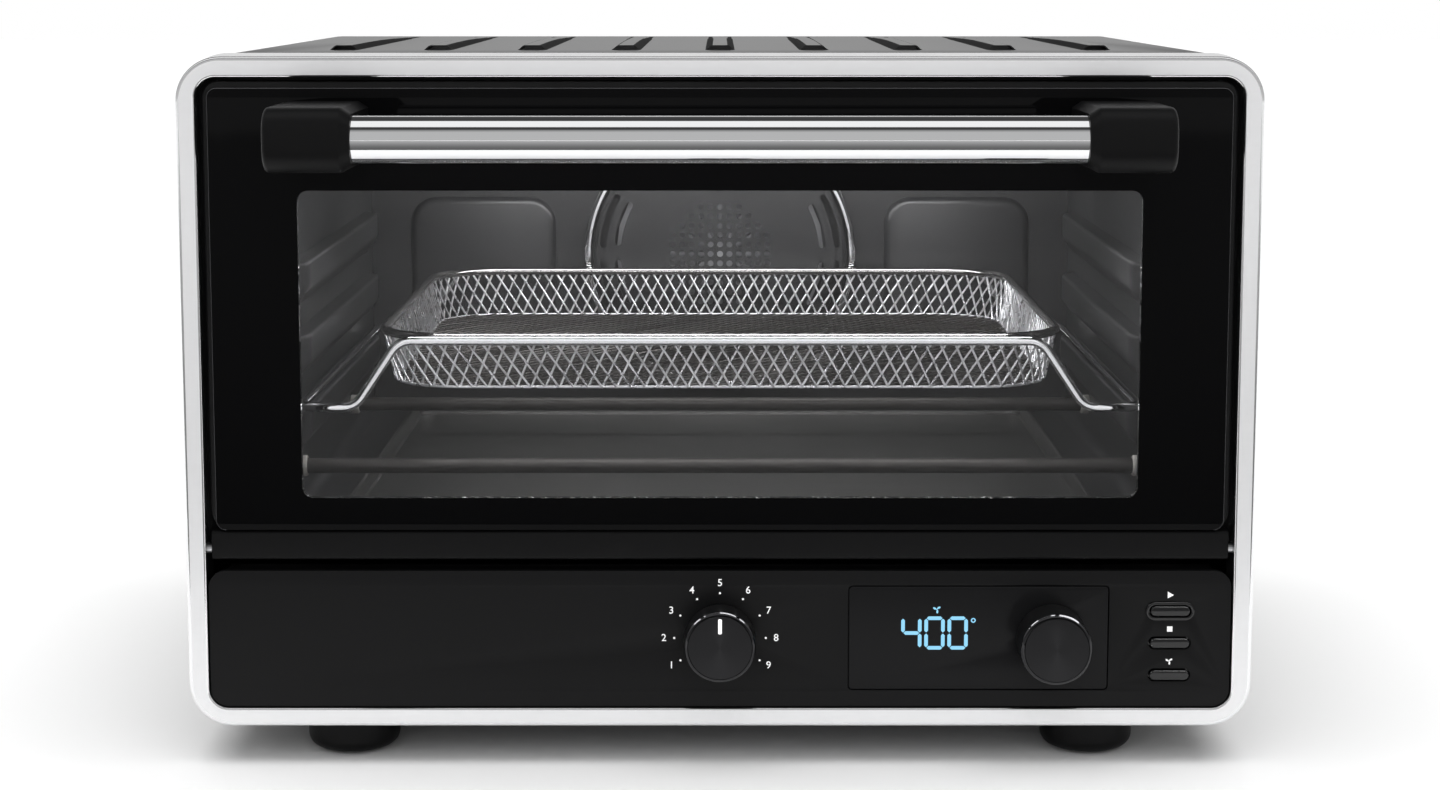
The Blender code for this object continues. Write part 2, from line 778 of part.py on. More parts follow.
def feet():
    foot_top = BASE_Z - CLEARANCE
    pad_top = PAD_HEIGHT
    for name, (x, depth) in foot_places().items():
        place = (x, at(depth), 0.0)
        profile = [
            (0.0, BASE_Z + 0.006),
            (STUD_RADIUS, BASE_Z + 0.006),
            (STUD_RADIUS, foot_top),
            (FOOT_RADIUS, foot_top),
            (FOOT_RADIUS, pad_top + 0.003),
            (FOOT_RADIUS - 0.002, pad_top + CLEARANCE),
            (0.0, pad_top + CLEARANCE),
        ]
        finish(turned("foot_" + name, profile, place, steps=24), "black_plastic")
        profile = [
            (0.0, pad_top),
            (PAD_RADIUS, pad_top),
            (PAD_RADIUS, 0.0008),
            (PAD_RADIUS - 0.0008, 0.0),
            (0.0, 0.0),
        ]
        finish(turned("foot_pad_" + name, profile, place, steps=24), "rubber")


def cord_gland():
    """The bush that the mains lead leaves through."""
    inside, outside = BACK_DEPTH - 0.003, BODY_DEPTH + CLEARANCE
    length = 0.009
    profile = [
        (GLAND_NECK, outside + length),
        (GLAND_RADIUS - 0.001, outside + 0.002),
        (GLAND_RADIUS, outside + 0.002),
        (GLAND_RADIUS, outside),
        (GLAND_NECK, outside),
        (GLAND_NECK, inside),
        (GLAND_BORE, inside),
        (GLAND_BORE, outside + length),
    ]
    place = (COVER_X - GLAND_SIDE_SPACE, at(0.0), BASE_Z + GLAND_RISE)
    return finish(turned("cord_gland", profile, place, "back", 16, ring=True), "black_plastic")


# ---- Cavity ----
def guide_loop(side, low, depth, reach):
    """The section of a rack guide across Y, standing this far off the side wall."""
    wall = side * (CAVITY_X + LINER_SHEET / 2)
    face = side * (CAVITY_X - reach)
    bevel = min(reach, GUIDE_HEIGHT / 4)
    high = low + GUIDE_HEIGHT
    outline = [(wall, low), (wall, high), (face, high), (face, low + bevel), (side * CAVITY_X, low)]
    return upright(outline, depth)


def cavity_liner():
    """The enamelled oven box: top, floor and sides with rack guides, and a flange round its mouth."""
    skin = LINER_SHEET
    outer = rounded(
        -CAVITY_X - skin, CAVITY_X + skin, CAVITY_LOW - skin, CAVITY_HIGH + skin, CAVITY_CORNER + skin
    )
    inner = rounded(-CAVITY_X, CAVITY_X, CAVITY_LOW, CAVITY_HIGH, CAVITY_CORNER)
    liner = to_mesh(plate("cavity_liner", [outer, inner], at(FLANGE_FRONT), at(CAVITY_BACK - CLEARANCE)))
    reach = SHEET + FLANGE_GAP
    flange_outline = rounded(
        -COVER_X + reach,
        COVER_X - reach,
        FASCIA_HIGH + 0.002,
        COVER_Z - reach,
        BODY_CORNER - SHEET,
        6,
    )
    flange = plate("cavity_flange", [flange_outline, inner], at(FLANGE_FRONT), at(FLANGE_BACK))
    join(liner, to_mesh(flange))
    rear = CAVITY_BACK - GUIDE_REAR_SPACE
    for side, word in ((-1, "left"), (1, "right")):
        for i in range(GUIDES):
            low = GUIDE_LOW + i * (GUIDE_HEIGHT + GUIDE_SLOT)
            loops = [
                guide_loop(side, low, GUIDE_FRONT, 0.0005),
                guide_loop(side, low, GUIDE_FRONT + GUIDE_TAPER, GUIDE_REACH),
                guide_loop(side, low, rear - GUIDE_TAPER, GUIDE_REACH),
                guide_loop(side, low, rear, 0.0005),
            ]
            join(liner, loft(f"guide_{word}_{i}", loops))
    reach = CAVITY_X + 2 * skin + CLEARANCE
    holes = [
        ((-reach, at(depth), z), (reach, at(depth), z))
        for depth in (HEATER_FRONT, HEATER_REAR)
        for z in (HEATER_LOW_Z, HEATER_HIGH_Z)
    ]
    cutter = rods("heater_holes", holes, HEATER_COLLAR_RADIUS + CLEARANCE, 16)
    return finish(cut(liner, cutter), "enamel")


def cavity_back_wall():
    """The rear wall of the cavity, with two raised panels and the fan shaft's hole."""
    skin = LINER_SHEET
    outline = rounded(
        -CAVITY_X - skin, CAVITY_X + skin, CAVITY_LOW - skin, CAVITY_HIGH + skin, CAVITY_CORNER + skin
    )
    hole = circle(0.0, FAN_Z, 2 * SHAFT_RADIUS, 20)
    back = CAVITY_BACK + skin
    wall = to_mesh(plate("cavity_back_wall", [outline, hole], at(CAVITY_BACK), at(back)))
    low, high = CAVITY_LOW + PANEL_BOTTOM_SPACE, CAVITY_HIGH - PANEL_TOP_SPACE
    outer_x = CAVITY_X - PANEL_SIDE_SPACE
    inner_x = max(outer_x - PANEL_WIDTH, FAN_COVER_RADIUS + 2 * PANEL_RAISE)
    for side, word in ((-1, "left"), (1, "right")):
        left, right = sorted((side * inner_x, side * outer_x))

        def panel(shrink, depth):
            edges = (left + shrink, right - shrink, low + shrink, high - shrink)
            return upright(rounded(*edges, 0.012 - shrink, 4), depth)

        loops = [
            panel(PANEL_RAISE, CAVITY_BACK - PANEL_RAISE),
            panel(0.0, CAVITY_BACK),
            panel(0.0, CAVITY_BACK + skin / 2),
        ]
        join(wall, loft("panel_" + word, loops))
    return finish(wall, "enamel")


def arc_slot(radius, width, middle, sweep, segments):
    """A curved slot about the fan's axis, in the plane across Y."""
    angles = [middle + sweep * (i / segments - 0.5) for i in range(segments + 1)]
    outside = [(radius + width / 2, a) for a in angles]
    inside = [(radius - width / 2, a) for a in reversed(angles)]
    return [(r * math.cos(a), FAN_Z + r * math.sin(a)) for r, a in outside + inside]


def fan_guard():
    """The dished cover in front of the convection fan and its bright ring."""
    depth = FAN_COVER_DEPTH
    wall = LINER_SHEET
    seat = CLEARANCE
    place = (0.0, at(CAVITY_BACK), FAN_Z)
    radius = FAN_DISH_RADIUS
    profile = [
        (0.0, depth),
        (radius - 0.002, depth),
        (radius, depth - 0.002),
        (radius, seat),
        (radius - wall, seat),
        (radius - wall, depth - 0.002 - wall / 2),
        (radius - 0.002 - wall / 2, depth - wall),
        (0.0, depth - wall),
    ]
    cover = turned("fan_cover", profile, place, "front", 32)
    slots = [
        arc_slot(radius * share, 0.0040, quarter * math.pi / 2, math.radians(50), 4)
        for share in (0.76, 0.90)
        for quarter in range(4)
    ]
    start, end = at(FAN_FRONT - 0.001), at(FAN_FRONT + wall + 0.001)
    finish(cut(cover, to_mesh(plate("fan_cover_slots", slots, start, end))), "enamel")
    inner, outer = radius + CLEARANCE, FAN_COVER_RADIUS
    profile = [
        (outer - 0.0012, depth + 0.0012),
        (outer, depth),
        (outer, seat),
        (inner, seat),
        (inner, depth + 0.0012),
    ]
    finish(turned("fan_cover_ring", profile, place, "front", 32, ring=True), "chrome")


def bladed_wheel(name, radius, hub, depth, length, blades, pitch, place, finish_name):
    """A fan wheel: a bored hub on a thin disc, with blades between them."""
    bore = SHAFT_RADIUS + CLEARANCE
    disc = 0.001
    profile = [(hub, length), (hub, disc), (radius, disc), (radius, 0.0), (bore, 0.0), (bore, length)]
    wheel = turned(name, profile, place, "front", 24, ring=True)
    bm = bmesh.new()
    x, y, z = place
    for i in range(blades):
        add_block(
            bm,
            (hub - 0.0005, y - depth, z - 0.0006),
            (radius - 0.001, y - disc / 2, z + 0.0006),
            turn=((x, y, z), i * 2 * math.pi / blades + pitch),
        )
    return finish(join(wheel, from_bmesh(name + "_blades", bm)), finish_name)


def fan_drive():
    """The convection fan, its motor and the motor's own cooling fan on one shaft."""
    fan = bladed_wheel(
        "convection_fan",
        FAN_RADIUS,
        0.008,
        FAN_DEPTH,
        FAN_DEPTH,
        FAN_BLADES,
        0.0,
        (0.0, at(CAVITY_BACK - 0.0012), FAN_Z),
        "aluminium",
    )
    motor_front = CAVITY_BACK + LINER_SHEET + CLEARANCE
    motor_back = motor_front + MOTOR_FLANGE + MOTOR_LENGTH
    cooling = bladed_wheel(
        "cooling_fan",
        COOLING_FAN_RADIUS,
        0.007,
        COOLING_FAN_DEPTH,
        COOLING_FAN_DEPTH,
        COOLING_FAN_BLADES,
        0.3,
        (0.0, at(motor_back + 0.001 + COOLING_FAN_DEPTH), FAN_Z),
        "aluminium",
    )
    bm = bmesh.new()
    add_block(
        bm,
        (-MOTOR_RADIUS - 0.012, at(motor_front), FAN_Z - 0.012),
        (MOTOR_RADIUS + 0.012, at(motor_front + MOTOR_FLANGE), FAN_Z + 0.012),
    )
    motor = from_bmesh("fan_motor", bm)
    can = rods(
        "motor_can",
        [((0.0, at(motor_front + MOTOR_FLANGE / 2), FAN_Z), (0.0, at(motor_back), FAN_Z))],
        MOTOR_RADIUS,
        32,
    )
    bore = rods(
        "motor_bore",
        [((0.0, at(motor_front - 0.001), FAN_Z), (0.0, at(motor_back + 0.001), FAN_Z))],
        SHAFT_RADIUS + CLEARANCE,
        16,
    )
    finish(cut(join(motor, can), bore), "steel")
    shaft_front = FAN_FRONT + LINER_SHEET + 0.001
    shaft = rods(
        "fan_shaft",
        [
            (
                (0.0, at(shaft_front), FAN_Z),
                (0.0, at(motor_back + 0.001 + COOLING_FAN_DEPTH + 0.001), FAN_Z),
            )
        ],
        SHAFT_RADIUS,
        16,
    )
    finish(smooth(shaft), "steel")
    hang((fan, cooling, shaft), pivot("fan_axis", (0.0, at(CAVITY_BACK), FAN_Z)))


def heaters():
    """Four rod elements across the cavity, held by collars in the side walls."""
    wall = CAVITY_X + LINER_SHEET
    collar_in = CAVITY_X - 0.004
    collar_out = wall + 0.008
    tip = collar_out + 0.012
    half = [
        (0.0, tip),
        (HEATER_TERMINAL_RADIUS, tip),
        (HEATER_TERMINAL_RADIUS, collar_out),
        (HEATER_COLLAR_RADIUS, collar_out),
        (HEATER_COLLAR_RADIUS, collar_in),
        (HEATER_RADIUS, collar_in),
    ]
    profile = half + [(radius, -height) for radius, height in reversed(half)]
    for level_name, z in (("top", HEATER_HIGH_Z), ("bottom", HEATER_LOW_Z)):
        for row, depth in (("front", HEATER_FRONT), ("rear", HEATER_REAR)):
            name = f"heater_{level_name}_{row}"
            finish(turned(name, profile, (0.0, at(depth), z), "right", 12), "steel")


def tray_shell(name, x, front, back, low, high, wall, taper, corner):
    """An open tray with sloping sides."""

    def outline(shrink):
        return rounded(-x + shrink, x - shrink, front + shrink, back - shrink, corner - shrink * 0.5, 5)

    return loft(
        name,
        [
            level(outline(taper), low),
            level(outline(0.0), high),
            level(outline(wall), high),
            level(outline(taper + wall), low + wall),
        ],
    )


def crumb_tray():
    low = CAVITY_LOW + CLEARANCE
    back = CAVITY_BACK - TRAY_REAR_SPACE
    x = CAVITY_X - TRAY_SIDE_SPACE
    tray = tray_shell("crumb_tray", x, TRAY_FRONT, back, low, low + TRAY_HEIGHT, TRAY_SHEET, 0.002, 0.008)
    return finish(tray, "aluminium")


def basket():
    """The air-fry basket and the bent wire that carries it on the rack guides."""
    shell = tray_shell(
        "fry_basket",
        BASKET_X,
        BASKET_FRONT,
        BASKET_BACK,
        BASKET_LOW,
        BASKET_HIGH,
        BASKET_WALL,
        BASKET_TAPER,
        BASKET_CORNER,
    )
    gap = WIRE_RADIUS + CLEARANCE
    front, back = at(BASKET_FRONT - gap), at(BASKET_BACK + gap)
    bar_x = BASKET_X - WIRE_SIDE_GAP
    foot_x = bar_x + WIRE_SHOULDER
    arm_x = CAVITY_X - WIRE_ARM_GAP
    bar_z = ARM_Z + WIRE_RISE
    half = [(bar_x, bar_z), (foot_x, ARM_Z), (arm_x, ARM_Z)]
    corners = [Vector((x, front, z)) for x, z in half]
    corners += [Vector((x, back, z)) for x, z in reversed(half)]
    corners += [Vector((-x, back, z)) for x, z in half]
    corners += [Vector((-x, front, z)) for x, z in reversed(half)]
    path = filleted(corners, WIRE_BEND, 3)
    curve = bpy.data.curves.new("basket_support", "CURVE")
    curve.dimensions = "3D"
    curve.bevel_depth = WIRE_RADIUS
    curve.bevel_resolution = 2
    spline = curve.splines.new("POLY")
    spline.points.add(len(path) - 1)
    for point, place in zip(spline.points, path):
        point.co = (*place, 1)
    spline.use_cyclic_u = True
    support = bpy.data.objects.new("basket_support", curve)
    PARTS.objects.link(support)
    finish(shell, "steel")
    finish(support, "chrome")
    return shell, support


# ---- Door ----
def screw_places():
    return [(side * END_MIDDLE_X, BAR_Z) for side in (-1, 1)]


def door_panels():
    """The glass, the frame behind it and the rail below it."""
    outline = rounded(-GLASS_X, GLASS_X, FRAME_LOW, GLASS_HIGH, GLASS_CORNER)
    holes = [circle(x, z, SCREW_RADIUS + 2 * CLEARANCE, 16) for x, z in screw_places()]
    glass = plate("door_glass", [outline] + holes, at(FASCIA_SETBACK), at(GLASS_BACK))
    finish(glass, "glass")
    outline = rounded(-FRAME_X, FRAME_X, FRAME_LOW, FRAME_HIGH, GLASS_CORNER + GLASS_INSET)
    spare = 0.002
    window = rounded(
        -WINDOW_X - spare, WINDOW_X + spare, WINDOW_LOW - spare, WINDOW_HIGH + spare, WINDOW_CORNER + spare
    )
    frame = to_mesh(plate("door_frame", [outline, window] + holes, at(FRAME_FRONT), at(FRAME_BACK)))
    seat = FRAME_BACK - SCREW_HEAD - 2 * CLEARANCE
    sinks = [((x, at(seat), z), (x, at(FRAME_BACK + 0.001), z)) for x, z in screw_places()]
    cut(frame, rods("screw_sinks", sinks, SCREW_HEAD_RADIUS + CLEARANCE, 20))
    finish(frame, "black_paint")
    rail_x = FRAME_X - 0.0004
    rail = blocks(
        "door_rail",
        [((-rail_x, at(RAIL_SETBACK), RAIL_LOW), (rail_x, at(FRAME_BACK), RAIL_HIGH))],
    )
    round_edges(rail, 0.0012)
    bore_end = OPENING_X + PIN_ENGAGEMENT - PIN_LENGTH - CLEARANCE
    cut(rail, hinge_rods("rail_bores", bore_end, OPENING_X, PIN_RADIUS + CLEARANCE))
    finish(rail, "black_plastic")
    return [glass, frame, rail]


def hinge_pins():
    pins = []
    for side, word in ((-1, "left"), (1, "right")):
        outer = side * (OPENING_X + PIN_ENGAGEMENT)
        inner = side * (OPENING_X + PIN_ENGAGEMENT - PIN_LENGTH)
        ends = [((inner, at(HINGE_DEPTH), HINGE_Z), (outer, at(HINGE_DEPTH), HINGE_Z))]
        pins.append(finish(smooth(rods("hinge_pin_" + word, ends, PIN_RADIUS, 16)), "steel"))
    return pins


def handle():
    """A polished tube between two end posts, screwed on through the glass."""
    reach = END_INNER_X + BAR_ENGAGEMENT
    radius, wall = BAR_RADIUS, BAR_WALL
    profile = [(radius, reach), (radius, -reach), (radius - wall, -reach), (radius - wall, reach)]
    place = (0.0, at(-BAR_STANDOFF), BAR_Z)
    bar = finish(turned("handle_bar", profile, place, "right", 32, ring=True), "chrome")
    pieces = [bar]
    low, high = BAR_Z - END_HEIGHT / 2, BAR_Z + END_HEIGHT / 2
    rear = FASCIA_SETBACK - CLEARANCE
    nose = 0.009
    front = at(-END_REACH) + nose
    outline = [(at(rear), low), (at(rear), high)]
    outline += corner_arc(front, high - nose, nose, math.pi / 2, 5)
    outline += corner_arc(front, low + nose, nose, math.pi, 5)
    for side, word in ((-1, "left"), (1, "right")):
        x_low, x_high = sorted((side * END_INNER_X, side * END_OUTER_X))
        post = to_mesh(plate("handle_end_" + word, [outline], x_low, x_high, "X"))
        round_edges(post, 0.0020)
        mouth, floor = side * (END_INNER_X - 0.001), side * (reach + CLEARANCE)
        socket = [((mouth, place[1], BAR_Z), (floor, place[1], BAR_Z))]
        cut(post, rods("bar_socket_" + word, socket, BAR_RADIUS + CLEARANCE, 32))
        x = side * END_MIDDLE_X
        hole_end = rear - SCREW_ENGAGEMENT - CLEARANCE
        hole = [((x, at(hole_end), BAR_Z), (x, at(rear + 0.001), BAR_Z))]
        cut(post, rods("screw_hole_" + word, hole, SCREW_RADIUS + CLEARANCE, 16))
        pieces.append(finish(post, "black_plastic"))
        seat = FRAME_BACK - SCREW_HEAD - CLEARANCE
        profile = [
            (0.0, SCREW_HEAD),
            (SCREW_HEAD_RADIUS - 0.0006, SCREW_HEAD),
            (SCREW_HEAD_RADIUS, SCREW_HEAD - 0.0006),
            (SCREW_HEAD_RADIUS, 0.0),
            (SCREW_RADIUS, 0.0),
            (SCREW_RADIUS, rear - SCREW_ENGAGEMENT - seat),
            (0.0, rear - SCREW_ENGAGEMENT - seat),
        ]
        screw = turned("handle_screw_" + word, profile, (x, at(seat), BAR_Z), "back", 16)
        pieces.append(finish(screw, "steel"))
    return pieces


def door():
    pieces = door_panels() + hinge_pins() + handle()
    hang(pieces, pivot("door_axis", (0.0, at(HINGE_DEPTH), HINGE_Z)))


# ---- Controls ----
def button_places():
    names = ("start_button", "cancel_button", "convection_button")
    top = KNOB_Z + BUTTON_TOP_RISE
    return {name: top - i * BUTTON_PITCH for i, name in enumerate(names)}


def stadium(x, z, length, height, segments=4):
    radius = height / 2 * 0.98
    return rounded(x - length / 2, x + length / 2, z - height / 2, z + height / 2, radius, segments)


def control_fascia():
    """The panel below the door, recessed for the display window and pierced for the controls."""
    outline = rounded(-FASCIA_X, FASCIA_X, FASCIA_LOW, FASCIA_HIGH, FASCIA_CORNER, 5)
    screen_left = DISPLAY_LEFT + SCREEN_INSET
    holes = [
        circle(0.0, KNOB_Z, SHAFT_RADIUS + 0.001, 20),
        circle(DIAL_X, KNOB_Z, SHAFT_RADIUS + 0.001, 20),
        rounded(
            screen_left,
            screen_left + SCREEN_WIDTH,
            KNOB_Z - SCREEN_HEIGHT / 2,
            KNOB_Z + SCREEN_HEIGHT / 2,
            0.001,
            2,
        ),
    ]
    for z in button_places().values():
        length, height = BUTTON_LENGTH + 2 * BUTTON_GROOVE, BUTTON_HEIGHT + 2 * BUTTON_GROOVE
        holes.append(stadium(BUTTON_X, z, length, height))
    fascia = to_mesh(plate("control_fascia", [outline] + holes, at(FASCIA_SETBACK), at(FASCIA_BACK)))
    shelf_x = FASCIA_X - FASCIA_CORNER
    shelf = [
        (
            (-shelf_x, at(FASCIA_BACK - 0.001), FASCIA_HIGH - SHELF_THICKNESS),
            (shelf_x, at(TRIM_DEPTH), FASCIA_HIGH - CLEARANCE),
        )
    ]
    join(fascia, blocks("fascia_shelf", shelf))
    recess_edge = CLEARANCE
    recess = rounded(
        DISPLAY_LEFT - recess_edge,
        DISPLAY_RIGHT + recess_edge,
        DISPLAY_LOW - recess_edge,
        DISPLAY_HIGH + recess_edge,
        DISPLAY_CORNER + recess_edge,
        2,
    )
    start, end = at(FASCIA_SETBACK - 0.001), at(FASCIA_SETBACK + DISPLAY_RECESS)
    cut(fascia, to_mesh(plate("display_recess", [recess], start, end)))
    posts = [
        ((x, at(FASCIA_BACK - 0.0005), z), (x, at(BOARD_DEPTH - CLEARANCE), z))
        for x in (DISPLAY_LEFT + 0.005, BUTTON_X - 0.016)
        for z in (DISPLAY_LOW + 0.002, DISPLAY_HIGH - 0.002)
    ]
    return finish(join(fascia, rods("board_posts", posts, BOSS_RADIUS, 12)), "black_plastic")


def display():
    outline = rounded(DISPLAY_LEFT, DISPLAY_RIGHT, DISPLAY_LOW, DISPLAY_HIGH, DISPLAY_CORNER, 2)
    hole = circle(DIAL_X, KNOB_Z, SHAFT_RADIUS + 0.001, 20)
    back = FASCIA_SETBACK + DISPLAY_RECESS - CLEARANCE
    finish(plate("display_window", [outline, hole], at(FASCIA_SETBACK), at(back)), "gloss_black")
    left = DISPLAY_LEFT + SCREEN_INSET
    module = blocks(
        "display_module",
        [
            (
                (left, at(FASCIA_BACK + CLEARANCE), KNOB_Z - SCREEN_HEIGHT / 2),
                (left + SCREEN_WIDTH, at(BOARD_DEPTH - CLEARANCE), KNOB_Z + SCREEN_HEIGHT / 2),
            )
        ],
    )
    finish(round_edges(module, 0.0008, 1), "gloss_black")


def control_board():
    """The board behind the fascia, with one push switch behind each button."""
    low, high = DISPLAY_LOW - 0.001, DISPLAY_HIGH + 0.001
    board = blocks(
        "control_board",
        [
            (
                (DISPLAY_LEFT, at(BOARD_DEPTH), low),
                (BUTTON_X + 0.010, at(BOARD_DEPTH + BOARD_THICKNESS), high),
            )
        ],
    )
    face = FASCIA_BACK + BUTTON_STEM + BUTTON_TRAVEL + CLEARANCE
    switches = [
        (
            (BUTTON_X - 0.003, at(face), z - 0.003),
            (BUTTON_X + 0.003, at(BOARD_DEPTH + BOARD_THICKNESS / 2), z + 0.003),
        )
        for z in button_places().values()
    ]
    finish(join(board, blocks("push_switches", switches)), "board")


def knob(name, x, height):
    """A knob with a spun metal face on a shaft, standing just off the fascia."""
    rear = FASCIA_SETBACK - 2 * CLEARANCE
    radius = KNOB_RADIUS
    face = CAP_RADIUS + CLEARANCE
    profile = [
        (0.0, height - 0.001),
        (face, height - 0.001),
        (face, height - 0.0002),
        (radius - 0.0012, height - 0.0002),
        (radius - 0.0002, height - 0.0014),
        (radius, 0.0012),
        (radius, 0.0),
        (SHAFT_RADIUS + CLEARANCE, 0.0),
        (SHAFT_RADIUS + CLEARANCE, KNOB_BORE),
        (0.0, KNOB_BORE),
    ]
    place = (x, at(rear), KNOB_Z)
    body = finish(turned(name, profile, place, "front", 32), "black_plastic")
    profile = [
        (0.0, height),
        (CAP_RADIUS - 0.0003, height),
        (CAP_RADIUS, height - 0.0003),
        (CAP_RADIUS, height - 0.001 + CLEARANCE),
        (0.0, height - 0.001 + CLEARANCE),
    ]
    cap = finish(turned(name + "_cap", profile, place, "front", 32), "spun_metal")
    return body, cap, rear - KNOB_BORE + CLEARANCE


def shaft(name, x, start, end):
    ends = [((x, at(start), KNOB_Z), (x, at(end), KNOB_Z))]
    return finish(smooth(rods(name, ends, SHAFT_RADIUS, 16)), "steel")


def function_selector():
    body, cap, tip = knob("function_knob", 0.0, KNOB_HEIGHT)
    front = FASCIA_BACK + CLEARANCE
    back = front + SWITCH_LENGTH
    stem = shaft("function_shaft", 0.0, tip, back - 0.002)
    ends = [((0.0, at(front), KNOB_Z), (0.0, at(back), KNOB_Z))]
    switch = rods("function_switch", ends, SWITCH_RADIUS, 32)
    bore = [((0.0, at(front - 0.001), KNOB_Z), (0.0, at(back - 0.001), KNOB_Z))]
    cut(switch, rods("switch_bore", bore, SHAFT_RADIUS + CLEARANCE, 16))
    finish(switch, "black_plastic")
    hang((body, cap, stem), pivot("function_axis", (0.0, at(0.0), KNOB_Z)))


def temperature_dial():
    body, cap, tip = knob("temperature_knob", DIAL_X, DIAL_HEIGHT)
    half = ENCODER_SIDE / 2
    front, back = FASCIA_BACK + 0.002, BOARD_DEPTH - CLEARANCE
    stem = shaft("temperature_shaft", DIAL_X, tip, back - 0.002)
    encoder = blocks(
        "temperature_encoder",
        [((DIAL_X - half, at(front), KNOB_Z - half), (DIAL_X + half, at(back), KNOB_Z + half))],
    )
    bore = [((DIAL_X, at(front - 0.001), KNOB_Z), (DIAL_X, at(back - 0.001), KNOB_Z))]
    cut(encoder, rods("encoder_bore", bore, SHAFT_RADIUS + CLEARANCE, 16))
    finish(encoder, "aluminium")
    hang((body, cap, stem), pivot("temperature_axis", (DIAL_X, at(0.0), KNOB_Z)))


def buttons():
    """Three push buttons held behind the fascia by a flange, each with a stem to its switch."""
    front = 0.0
    flange = FASCIA_BACK + CLEARANCE
    stem_end = FASCIA_BACK + BUTTON_STEM
    for name, z in button_places().items():
        outline = stadium(BUTTON_X, z, BUTTON_LENGTH, BUTTON_HEIGHT)
        pill = to_mesh(plate(name, [outline], at(front), at(flange + 0.0005)))
        wide, tall = BUTTON_LENGTH + 2 * BUTTON_FLANGE, BUTTON_HEIGHT + 2 * BUTTON_FLANGE
        outline = stadium(BUTTON_X, z, wide, tall)
        join(pill, to_mesh(plate(name + "_flange", [outline], at(flange), at(flange + 0.001))))
        ends = [((BUTTON_X, at(flange + 0.0005), z), (BUTTON_X, at(stem_end), z))]
        join(pill, rods(name + "_stem", ends, BUTTON_STEM_RADIUS, 12))
        finish(pill, "gloss_black")
        hang((pill,), pivot(name + "_axis", (BUTTON_X, at(0.0), z)))
    z = button_places()["start_button"]
    groove = BUTTON_GROOVE
    inner = stadium(BUTTON_X, z, BUTTON_LENGTH + 2 * groove, BUTTON_HEIGHT + 2 * groove)
    grow = 2 * (groove + BUTTON_RING_WIDTH)
    outer = stadium(BUTTON_X, z, BUTTON_LENGTH + grow, BUTTON_HEIGHT + grow)
    start, end = at(FASCIA_SETBACK - CLEARANCE - 0.0005), at(FASCIA_SETBACK - CLEARANCE)
    finish(plate("start_button_ring", [outer, inner], start, end), "gloss_black")


def power_board():
    """The supply board on standoffs in the base, with its transformer, relays and capacitor."""
    x, depth = -0.080, 0.120
    low = BASE_Z + SHEET + CLEARANCE
    top = low + 0.004
    half_x, half_y = 0.055, 0.035
    board = blocks(
        "power_board",
        [((x - half_x, at(depth - half_y), top), (x + half_x, at(depth + half_y), top + 0.0016))],
    )
    bm = bmesh.new()
    seat = top + 0.0008
    add_block(bm, (x - 0.045, at(depth - 0.020), seat), (x - 0.010, at(depth + 0.012), top + 0.026))
    for i in range(2):
        left = x + 0.002 + i * 0.024
        add_block(bm, (left, at(depth - 0.025), seat), (left + 0.019, at(depth - 0.010), top + 0.017))
    place = (x + 0.020, at(depth + 0.015))
    add_rod(bm, (*place, seat), (*place, top + 0.020), 0.008, 20)
    for side in (-1, 1):
        for end in (-1, 1):
            place = (x + side * (half_x - 0.005), at(depth + end * (half_y - 0.005)))
            add_rod(bm, (*place, low), (*place, seat), 0.003, 12)
    return finish(join(board, from_bmesh("supply_components", bm)), "board")


def main():
    front_trim_frame()
    wrap_cover()
    base_pan()
    back_panel()
    rear_fan_housing()
    feet()
    cord_gland()
    cavity_liner()
    cavity_back_wall()
    fan_guard()
    fan_drive()
    heaters()
    crumb_tray()
    basket()
    door()
    control_fascia()
    display()
    control_board()
    function_selector()
    temperature_dial()
    buttons()
    power_board()


main()
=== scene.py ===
"""Looks of the countertop toaster oven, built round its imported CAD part.

Metres, +Z up, the oven's front towards -Y. A depth is measured from the trim's front face towards the back.
"""

import json
import math

import bmesh
import bpy
from mathutils import Matrix, Vector

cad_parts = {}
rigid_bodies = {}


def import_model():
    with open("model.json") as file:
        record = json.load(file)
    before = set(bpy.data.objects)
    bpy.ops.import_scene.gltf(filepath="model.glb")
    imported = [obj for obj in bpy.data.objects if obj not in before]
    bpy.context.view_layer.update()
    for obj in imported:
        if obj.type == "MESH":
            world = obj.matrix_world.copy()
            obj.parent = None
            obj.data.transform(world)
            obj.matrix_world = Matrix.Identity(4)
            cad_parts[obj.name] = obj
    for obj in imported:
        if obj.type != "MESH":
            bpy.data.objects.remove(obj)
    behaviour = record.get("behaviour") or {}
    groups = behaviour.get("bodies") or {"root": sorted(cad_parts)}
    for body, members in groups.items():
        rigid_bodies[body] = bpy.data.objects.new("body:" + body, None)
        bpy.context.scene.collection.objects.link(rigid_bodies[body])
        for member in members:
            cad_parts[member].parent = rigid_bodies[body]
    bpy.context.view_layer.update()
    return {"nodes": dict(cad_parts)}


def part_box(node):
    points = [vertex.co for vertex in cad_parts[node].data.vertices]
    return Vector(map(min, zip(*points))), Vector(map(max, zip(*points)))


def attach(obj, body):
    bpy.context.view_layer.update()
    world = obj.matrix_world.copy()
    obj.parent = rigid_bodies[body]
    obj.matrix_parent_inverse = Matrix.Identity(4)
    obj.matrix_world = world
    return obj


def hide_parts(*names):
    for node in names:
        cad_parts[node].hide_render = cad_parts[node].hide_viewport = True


for startup in list(bpy.data.objects):
    bpy.data.objects.remove(startup, do_unlink=True)

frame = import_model()
NODES = frame["nodes"]

